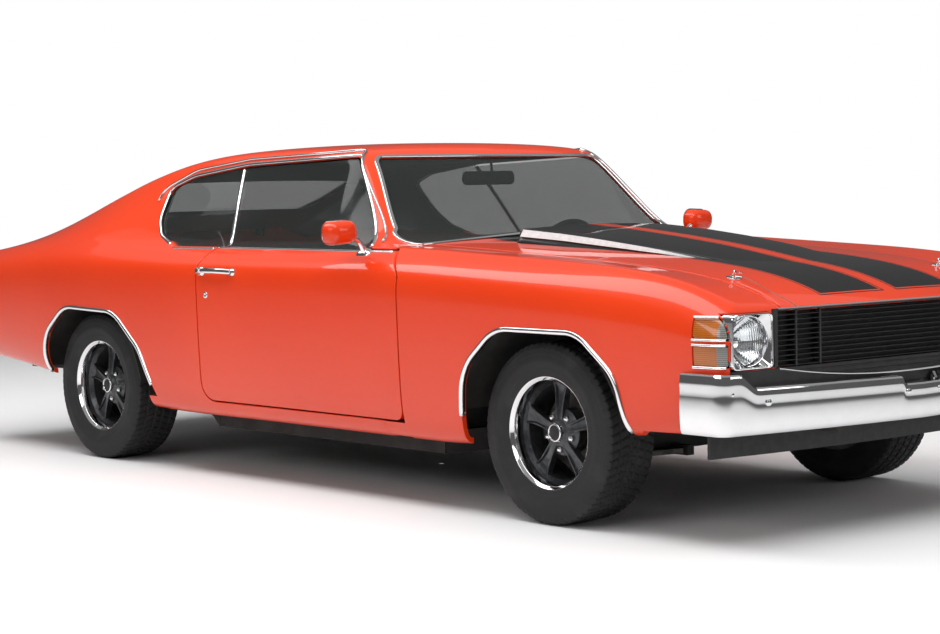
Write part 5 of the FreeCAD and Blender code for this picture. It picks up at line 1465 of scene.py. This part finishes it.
lensParts, bars = [], []
for low in markerZ:
    points, tris, quads, normals = cutSheet(
        lampNet, *lampNet.lines(0.008, (0, 3.4), (0.5, 7)), lensKeep(low), edge=0.003, depth=0.020)
    lensParts += [(points, quads, tris), (mirroredY(points), quads, tris)]
    for z in (low + 0.0015, low + 0.0725):
        path, normals = levelPath(wrapNet, z, (3.6, 0.1))
        inside = (path[:, 0] > 2.2985) & (path[:, 1] > 0.8845)
        rod, quads, caps = strip(path[inside], normals[inside], halfRound(0.0095, 0.0075, 0.008))
        bars += [(rod, quads, caps), (mirroredY(rod), quads, caps)]
piece("cornerLenses", lensParts, "body", cornerLens, "lamp_glass", 40)
piece("cornerBars", bars, "body", chrome, "chrome_trim", 40)
print("lamps done")


# ---- cabin: pleated cushions, dash, wheel, mirrors

def cushion(corners, y0, y1, pleats=0, puff=0.010, soft=0.030, face=None, rows=64):
    # side outline carried across the seat; near both ends it shrinks along a quarter round, and
    # between pleats the padded face swells by puff times the square root of a sine
    outline = spread(roundedLine(corners, 8), 0.012, closed=True)
    middle = outline.mean(0)
    out = unit((np.roll(outline, -1, 0) - np.roll(outline, 1, 0))[:, ::-1] * (1, -1))
    out *= np.sign(((outline - middle) * out).sum())
    share = np.clip(out @ np.array(face) * 1.6, 0, 1) if face else np.ones(len(outline))
    t = (1 - np.cos(np.linspace(0, math.pi, rows))) / 2
    t = 0.35 * t + 0.65 * np.linspace(0, 1, rows)
    y = y0 + (y1 - y0) * t
    edge = np.clip(np.minimum(y - y0, y1 - y) / soft, 0, 1)
    inset = soft * 0.8 * (1 - np.sqrt(np.maximum(1 - (1 - edge) ** 2, 0)))
    swell = 0.012 * np.sqrt(np.maximum(np.sin(math.pi * t), 0))
    if pleats:
        inner = np.clip((y - y0 - 0.085) / (y1 - y0 - 0.17), 0, 1)
        bolster = np.clip(np.minimum(y - y0, y1 - y) / 0.085, 0, 1)
        swell += puff * np.sqrt(np.abs(np.sin(math.pi * pleats * inner))) * (inner > 0) * (inner < 1)
        swell += puff * 1.1 * np.sqrt(np.maximum(np.sin(math.pi * bolster), 0))
    shift = swell[:, None] * share - inset[:, None]
    rings = outline + out * shift[:, :, None]
    return loft(xyz(rings[:, :, 0], y[:, None], rings[:, :, 1]))


def makePleated(name):
    # black vinyl: pebbled grain, soft creases, and the raised ridges painted lighter, as a painted sheen
    # and as wear
    f = Finish(name)
    cells = f.node("TexVoronoi", {"feature": "DISTANCE_TO_EDGE"}, {"Vector": f.place(), "Scale": 520.0})
    crease = f.noise(9.0, 5.0, 0.6)
    fine = f.noise(160.0, 3.0)
    height = cells.ramp(0.0, 0.3) * 0.35 + crease * 1.0 + fine * 0.2
    return f.surface(
        Base_Color=f.mix(crease.ramp(0.35, 0.7), rgb(0.014, 0.014, 0.015), rgb(0.030, 0.030, 0.031)),
        Roughness=0.36 + crease * 0.22, Normal=f.bump(height, 0.5, 0.0016))


seatVinyl = makePleated("pleatedVinyl")
for label, side in (("Left", 1), ("Right", -1)):
    y0, y1 = sorted((side * 0.192, side * 0.688))
    base = cushion([(-235, 350, 30), (320, 342, 50), (322, 448, 52), (-235, 424, 40)], y0, y1,
                   7, face=(0, 1))
    back = cushion([(-125, 420, 20), (-232, 415, 20), (-404, 890, 52), (-300, 908, 52)], y0, y1, 7,
                   face=(0.95, 0.3))
    frameParts = [boxPart((-0.220, y, 0.2873), (0.300, y + 0.030, 0.352), 0.003) for y in (
        y0 + 0.038, y1 - 0.070)]
    hinge = roundedLine(((-175, 380, 20), (-70, 380, 20), (-70, 450, 30), (-175, 470, 30)), 6)
    frameParts += [slab(hinge, y, y + 0.006, edge=0.001) for y in (y0 - 0.0055, y1 - 0.0005)]
    piece("frontCushion" + label, [base], "body", seatVinyl, "black_vinyl", 80, fill=0.6)
    piece("frontBackrest" + label, [back], "body", seatVinyl, "black_vinyl", 80, fill=0.6)
    piece("seatFrame" + label, frameParts, "body", satin, "chrome_trim", 30, node="front_seats")
base = cushion([(-1150, 520, 20), (-800, 512, 20), (-705, 525, 20), (-705, 596, 45), (-1150, 562, 20)],
               -0.556, 0.556, 12, face=(0, 1))
back = cushion([(-1050, 545, 20), (-1175, 548, 20), (-1318, 880, 36), (-1236, 896, 50)], -0.556, 0.556,
               12, face=(0.95, 0.3))
piece("rearCushion", [base], "body", seatVinyl, "black_vinyl", 80, node="rear_seat", fill=0.6)
piece("rearBackrest", [back], "body", seatVinyl, "black_vinyl", 80, fill=0.6)


dashLine = spread(roundedLine((
    (1000, 644, 10), (1000, 868, 20), (640, 900, 46), (566, 862, 26), (572, 806, 16), (600, 790, 10),
    (598, 716, 18), (700, 646, 30)), 8), 0.012)
piece("dashPad", [slab(dashLine, -0.698, 0.698, edge=0.010)], "body", vinyl, "black_vinyl", 60,
      node="dashboard")
clusterLine = spread(roundedLine(((180, 716, 14), (560, 716, 14), (560, 846, 40), (180, 846, 40)), 8),
                     0.010)
piece("gaugeCluster", [slab(clusterLine, 0.560, 0.602, (1, 2), 0.006)], "body", blackPlastic,
      "black_plastic", 40)
grain = Finish("gaugeFace")
gaugeFace = grain.surface(Roughness=0.35, Base_Color=grain.mix(
    grain.noise(300.0, 2.0).ramp(0.5, 0.9), rgb(0.008, 0.008, 0.009), rgb(0.018, 0.018, 0.018)))
rims, dials, needles = [], [], []
for y, z, r in ((0.452, 0.785, 0.050), (0.290, 0.785, 0.050), (0.371, 0.812, 0.024),
                (0.371, 0.756, 0.024), (0.222, 0.752, 0.017), (0.520, 0.752, 0.017)):
    rims.append(turned(((r - 0.004, -0.002), (r, -0.002), (r, 0.003, 0.001), (r - 0.003, 0.005, 0.001),
                        (r - 0.004, 0.001)), (0.5600, y, z), (-1, 0, 0), 48))
    dials.append(turned(((0.0004, -0.001), (r - 0.003, -0.001), (r - 0.003, 0.0012), (0.0004, 0.0012)),
                        (0.5600, y, z), (-1, 0, 0), 48))
    needles.append(boxPart((0.5570, y - 0.0010, z - 0.004), (0.5582, y + 0.0010, z + r * 0.72), 0.0004))
piece("gaugeRims", rims, "body", chrome, "chrome_trim", 40)
piece("gaugeFaces", dials, "body", gaugeFace, "black_plastic", 40)
piece("gaugeNeedles", needles, "body", amber, "lamp_glass", 40)
dashBits = [boxPart((0.5930, -0.165, 0.742), (0.5990, 0.020, 0.792), 0.003),
            boxPart((0.5935, -0.560, 0.728), (0.5990, -0.270, 0.794), 0.003)]
piece("dashPanels", dashBits, "body", blackPlastic, "black_plastic", 40)
knobs = [turned(((0.0004, -0.004), (0.009, -0.004), (0.009, 0.008, 0.001), (0.007, 0.014, 0.002),
                 (0.0004, 0.015)), (0.5925, y, 0.766), (-1, 0, 0), 24) for y in (-0.148, 0.003, -0.300)]
piece("dashKnobs", knobs, "body", satin, "chrome_trim", 40)
column = tube(smoothPath([(0.95, 0.370, 0.637), (0.70, 0.370, 0.7205), (0.55, 0.370, 0.7705),
                          (0.404, 0.370, 0.8193)], 24), 0.026, 24)
piece("steeringColumn", [column], "body", blackPlastic, "black_plastic", 40)

# steering wheel: a round rim on three flat spokes
wheelAxis = unit(np.array((0.402 - 0.940, 0, 0.820 - 0.640)))
hub = np.array((0.402, 0.370, 0.820))
sideways = np.array((0, 1.0, 0))
upward = np.cross(wheelAxis, sideways)
upward *= np.sign(upward[2])
a = np.linspace(0, 2 * math.pi, 145)[:-1]
ringLine = hub + wheelAxis * 0.030 + 0.190 * (np.cos(a)[:, None] * sideways + np.sin(a)[:, None] * upward)
turn = np.linspace(0, 2 * math.pi, 17)[:-1]
rimSection = np.stack([np.cos(turn) * 0.0125, np.sin(turn) * 0.0120], 1)
parts = [strip(ringLine, wheelAxis, rimSection, closed=True)]
parts.append(turned(((0.0004, 0.0003), (0.043, 0.0003), (0.044, 0.030, 0.006), (0.030, 0.044, 0.006),
                     (0.0004, 0.046)), hub, wheelAxis, 48))
section = np.array(
    ((-1, -0.0014), (-1, 0.0012), (-0.9, 0.0018), (0.9, 0.0018), (1, 0.0012), (1, -0.0014)))
spokeParts = []
for around in (0.0, math.pi, -math.pi / 2):
    out = math.cos(around) * sideways + math.sin(around) * upward
    sideOf = np.cross(wheelAxis, out)
    reach = np.linspace(0.030, 0.186, 14)
    wide = np.interp(reach, (0.03, 0.10, 0.186), (0.020, 0.014, 0.017))
    middle = hub + wheelAxis * (0.026 + 0.004 * (reach / 0.186) ** 2)[:, None] + out * reach[:, None]
    rows = middle[:, None] + sideOf * (
        wide[:, None, None] * section[None, :, :1]) + wheelAxis * section[None, :, 1:]
    spokeParts.append(loft(rows))
piece("steeringRim", parts, "steering_wheel", blackPlastic, "black_plastic", 50, node="steering_wheel")
piece("steeringSpokes", spokeParts, "steering_wheel", satin, "chrome_trim", 40)
print("seats and dash done")

# lining under the roof, and the rear-view mirror
liningNet = Net(0.0225)


def liningKeep(p):
    return least(p[:, 2] - 1.10, 0.30 - p[:, 0], p[:, 0] + 1.42, 0.615 - np.abs(p[:, 1]))


points, tris, quads, _ = cutSheet(
    liningNet, *liningNet.lines(0.03, (7, 16), (6.5, 15.5)), liningKeep, edge=0.001, depth=0.003)
piece("headliner", [(points, quads, tris)], "body", vinyl, "black_vinyl", 60)
mirrorOutline = roundedLine(((-145, -27, 24), (145, -27, 24), (134, 29, 22), (-134, 29, 22)), 8)
wide, tall = mirrorOutline.T
rows = [xyz(0.318 + x, wide * size, 1.196 + tall * size) for x, size in (
    (0.000, 0.93), (0.002, 1.0), (0.012, 1.0), (0.022, 0.86), (0.026, 0.55))]
arm = tube(smoothPath([(0.340, 0, 1.198), (0.350, 0, 1.225), (0.345, 0, 1.262), (0.330, 0, 1.288)], 16),
           0.0055)
piece("cabinMirrorShell", [loft(rows), arm], "body", blackPlastic, "black_plastic", 40)
silver = makeChrome("mirrorSilver", 0.90, 0.01)
front = xyz(0.3176, wide * 0.90, 1.196 + tall * 0.88)
piece("cabinMirrorFace", [loft([front, front + np.array((0.001, 0, 0))])], "body", silver,
      "chrome_trim", 40)

# ---- door linings, handles, locks and outside mirrors, drawn for the left door and mirrored

cardLine = spread(roundedLine(((-372, 372, 30), (760, 372, 30), (740, 900, 30), (-360, 915, 30)), 8),
                  0.02)
lining = slab(cardLine, 0.8035, 0.8115, edge=0.002)
armRest = cushion([(-150, 600, 18), (250, 600, 18), (250, 650, 22), (-150, 655, 22)], 0.745, 0.806,
                  0, soft=0.018)
inward = (0, -1, 0)
cranks = [
    tube(smoothPath([(0.330, 0.790, 0.62), (0.370, 0.788, 0.60), (0.420, 0.786, 0.575)], 12), 0.006),
    turned(((0.0004, 0), (0.014, 0), (0.012, 0.024, 0.004), (0.0004, 0.026)),
           (0.420, 0.788, 0.575), inward, 24),
    turned(((0.0004, -0.003), (0.020, -0.003), (0.014, 0.016, 0.003), (0.0004, 0.017)),
           (0.330, 0.804, 0.62),
           inward, 32),
    tube(smoothPath(
        [(0.470, 0.800, 0.740), (0.480, 0.782, 0.742), (0.560, 0.780, 0.742), (0.590, 0.784, 0.742)],
                    20), 0.006)]


def footRows(spot, wide, tall, corner, levels, plane):
    # an oval foot that narrows as it rises: levels are (height, size)
    line = roundedLine(((-wide[0], -tall, corner), (wide[1], -tall, corner), (wide[1], tall, corner),
                        (-wide[0], tall, corner)), plane[1], 1.0)
    a, b = line.T
    return loft([spot + (xyz(a * m, h, b * m) if plane[0] == "side" else xyz(
        a * m, b * m, h - 0.55 * b * m)) for h, m in levels])


# outside handle: a bowed bar on two feet, with its button and the lock below
spot, out = skinNet.find(sideView, np.array(
    [[-0.371, 0.840], [-0.161, 0.840], [-0.337, 0.745], [-0.266, 0.840]]), (9, 14), (1, 8))
barLine = smoothPath([spot[0] + out[0] * 0.008, spot[0] * 0.75 + spot[1] * 0.25 + out[0] * 0.030,
                      spot[0] * 0.25 + spot[1] * 0.75 + out[0] * 0.030, spot[1] + out[1] * 0.010], 40)
footLevels = ((-0.004, 1.0), (0.0015, 1.0), (0.006, 0.86), (0.012, 0.62))
handle = [
    strip(barLine, out[3], np.stack([np.cos(turn) * 0.0105, np.sin(turn) * 0.0055], 1)),
    footRows(spot[0], (0.026, 0.026), 0.019, 0.0152, footLevels, ("side", 6)),
    footRows(spot[1], (0.020, 0.020), 0.016, 0.0128, footLevels, ("side", 6)),
    turned(((0.0004, 0.006), (0.0115, 0.006), (0.0115, 0.022, 0.0015), (0.0004, 0.024)),
           spot[0], out[0], 32),
    turned(((0.0004, 0.0030), (0.006, 0.0030), (0.0075, 0.0042, 0.0008), (0.0125, 0.0030, 0.0008),
            (0.0140, -0.003), (0.0004, -0.003)), spot[2], out[2], 32)]

# outside mirror: painted shell, bright rim, silvered face, stalk and foot
headWide, headTall = roundedLine(((-68, -40, 34), (66, -44, 34), (72, 40, 34), (-64, 46, 36)), 8).T


def headLine(x, size):
    # the mirror's outline at x from its centre, scaled by size
    return np.array((0.580, 0.972, 1.004)) + xyz(x, headWide * size, headTall * size)


shell = loft([headLine(*row) for row in (
    (-0.020, 0.97), (-0.019, 1.0), (0.004, 1.0), (0.020, 0.93), (0.031, 0.78), (0.038, 0.52),
    (0.041, 0.22))])
rim = strip(headLine(-0.0195, 0.985), (-1.0, 0, 0), halfRound(0.010, 0.004, 0.002), closed=True)
stalk = tube(smoothPath([(0.588, 0.868, 0.930), (0.590, 0.880, 0.962), (0.588, 0.905, 0.985), (
    0.590, 0.945, 0.992)], 24), np.interp(np.linspace(0, 1, 24), (0, 0.5, 1), (0.0125, 0.0085, 0.0115)),
    20)
footSpot, _ = skinNet.find(planView, np.array([[0.588, 0.866]]), (6, 12), (1, 9))
foot = footRows(footSpot[0], (0.040, 0.036), 0.016, 0.015,
                ((-0.006, 1.0), (0.002, 1.0), (0.006, 0.9), (0.013, 0.55)), ("plan", 8))
plate = headLine(-0.0205, 0.95)
for label, side in (("left", 1), ("right", -1)):
    for name, parts, material, slot, sharp, node, fill in (
        ("doorLining_", [lining], vinyl, "black_vinyl", 40, None, None),
        ("armRest_", [armRest], seatVinyl, "black_vinyl", 70, None, 0.6),
        ("doorCranks_", cranks, chrome, "chrome_trim", 40, None, None),
        ("doorHandle_", handle, chrome, "chrome_trim", 40, None, None),
        ("mirrorShell_", [shell], paint, "body_paint", 40, "mirror_" + label, None),
        ("mirrorTrim_", [rim, stalk, foot], chrome, "chrome_trim", 40, None, None),
        ("mirrorFace_", [loft([plate, plate + np.array((0.001, 0, 0))])], silver, "chrome_trim",
         40, None, None),
    ):
        piece(name + label, moved(parts, (1, side, 1)), "door_" + label, material, slot,
              sharp, node, fill)
print("doors' fittings done")


# ---- tail: round ribbed lamps in bright rings

def makeTailLens():
    # red lens: concentric ribs about each lamp's centre
    f = Finish("ribbedRedLens")
    _, y, z = f.axes()
    away = ((abs(abs(y) - 0.685) - 0.085).maths("POWER", 2.0) + (z - 0.650).maths("POWER", 2.0)).maths(
        "SQRT")
    rib = abs((away / 0.0055).maths("FRACT") - 0.5) * 2.0
    red = f.mix(rib, rgb(0.30, 0.004, 0.004), rgb(0.46, 0.012, 0.010))
    colour = f.mix(away.ramp(0.0175, 0.0180), rgb(0.62, 0.60, 0.58), red)
    return f.surface(Base_Color=colour, Roughness=0.14, Coat_Weight=1.0, Normal=f.bump(rib, 0.5, 0.0008))


ringProfile = ((0.0530, -0.020), (0.0625, -0.020), (0.0625, 0.004, 0.001), (0.0600, 0.009, 0.002),
               (0.0555, 0.009, 0.002), (0.0530, 0.003))
lensProfile = ((0.0004, -0.016), (0.0532, -0.016), (0.0532, 0.003, 0.001), (0.040, 0.0065, 0.01),
               (0.018, 0.0085, 0.004), (0.016, 0.0110, 0.002), (0.0004, 0.0125))
spots = [(tailBack - 0.002 + float(bowed(y, tailBow)), s * y, z) for y, z in lampSpots for s in (1, -1)]
for name, profile, material, slot, sharp, node in (
    ("tailLenses", lensProfile, makeTailLens(), "tail_lens", 50, "tail_lamps"),
    ("tailRings", ringProfile, chrome, "chrome_trim", 40, None),
):
    piece(name, [turned(profile, spot, (-1, 0, 0)) for spot in spots], "body", material,
          slot, sharp, node)
print("tail done")


# ---- studio: pale floor rising into a backdrop, soft lamps, and the camera

studio = {"floor": rgb(0.80, 0.80, 0.80), "world": 0.32, "mirrored": rgb(0.10, 0.10, 0.10)}


def makeFloor():
    # a floor swept up behind the car in one smooth curve: profile (distance, height) carried round
    t = np.linspace(0, 1, 40)
    radius = np.concatenate(
        [np.linspace(0.01, 16, 12), 16 + 6 * np.sin(t * math.pi / 2), np.full(6, 22.0)])
    height = np.concatenate([np.zeros(12), 6 * (1 - np.cos(t * math.pi / 2)), np.linspace(6.5, 14, 6)])
    turn = np.linspace(0, 2 * math.pi, 97)[:-1]
    points = xyz(radius[:, None] * np.cos(turn), radius[:, None] * np.sin(turn), height[:, None] - 0.0005)
    points = points.reshape(-1, 3)
    ids = np.arange(len(points)).reshape(len(radius), 96)
    nxt = np.roll(ids, -1, 1)
    quads = np.stack([ids[:-1], ids[1:], nxt[1:], nxt[:-1]], 2).reshape(-1, 4)
    piece = meshObject("studioFloor", points, quads=quads)
    f = Finish("paleFloor")
    grain = f.noise(3.0, 3.0)
    shade = f.node("BsdfDiffuse", None, {"Color": f.mix(grain, studio["floor"], rgb(0.78, 0.78, 0.78))})
    glossy = f.node("LightPath", output="Is Glossy Ray")
    white = f.node("Emission", None, {"Color": f.mix(glossy, rgb(1, 1, 1), studio["mirrored"]),
                                      "Strength": 1.0})
    # far from the car the backdrop shows as white to the eye and through glass, and as dark grey to shiny
    # things
    x, y, z = f.axes()
    seen = f.node("LightPath", output="Is Camera Ray")
    passing = f.node("LightPath", output="Is Transmission Ray")
    away = (x * x + y * y).maths("SQRT").ramp(7.0, 14.0)
    both = f.node(
        "MixShader", None, {0: away * seen.greater(glossy).greater(passing), 1: shade, 2: white})
    f.node("OutputMaterial", None, {"Surface": both})
    piece.data.materials.append(f.material)


def stand(thing, spot, right, up, back):
    # a lamp or camera at spot, looking against back
    rows = zip(np.stack([right, up, back], 1), spot)
    thing.matrix_world = Matrix([(*row, s) for row, s in rows] + [(0, 0, 0, 1)])
    bpy.context.scene.collection.objects.link(thing)


def areaLamp(name, spot, aim, size, power, shiny=True):
    data = bpy.data.lights.new(name, "AREA")
    data.shape, data.size, data.size_y, data.energy = "RECTANGLE", size[0], size[1], power
    lamp = bpy.data.objects.new(name, data)
    lamp.visible_glossy = shiny
    spot, aim = np.array(spot, float), np.array(aim, float)
    back = unit(spot - aim)
    right = unit(np.cross((0, 0, 1.0), back)) if abs(back[2]) < 0.98 else np.array((1.0, 0, 0))
    stand(lamp, spot, right, np.cross(back, right), back)


def makeCamera(spot, yaw, pitch, roll, focal):
    # looks along yaw and pitch, then leans by roll; focal in picture widths
    ahead = np.array([math.cos(pitch) * math.cos(yaw), math.cos(pitch) * math.sin(yaw), math.sin(pitch)])
    right = unit(np.cross(ahead, (0, 0, 1.0)))
    up = np.cross(right, ahead)
    data = bpy.data.cameras.new("camera")
    data.lens, data.sensor_width, data.clip_end = focal * 36, 36, 100
    camera = bpy.data.objects.new("camera", data)
    stand(camera, spot, math.cos(roll) * right + math.sin(roll) * up,
          math.cos(roll) * up - math.sin(roll) * right, -ahead)
    bpy.context.scene.camera = camera


makeFloor()
areaLamp("overhead", (0.5, 0, 6.5), (0, 0, 0), (13, 8), 420, shiny=False)
areaLamp("strip", (0.2, -2.2, 4.6), (0.2, -0.6, 0.8), (10, 2.0), 210)
areaLamp("nearSide", (2.5, -9, 4.2), (0.4, 0, 0.6), (8, 3), 170)
areaLamp("noseSide", (10, 3.5, 3.6), (1.2, 0, 0.7), (5, 3), 110)
world = bpy.data.worlds.new("softRoom")
world.use_nodes = True
world.node_tree.nodes["Background"].inputs["Color"].default_value = rgb(1.0, 1.0, 1.0)
world.node_tree.nodes["Background"].inputs["Strength"].default_value = studio["world"]
bpy.context.scene.world = world
makeCamera((7.20637, -6.18393, 1.20112), 2.41865403, -0.0615772, -0.01641024, 2267.489 / 940)
bpy.context.scene.view_settings.view_transform = "Standard"
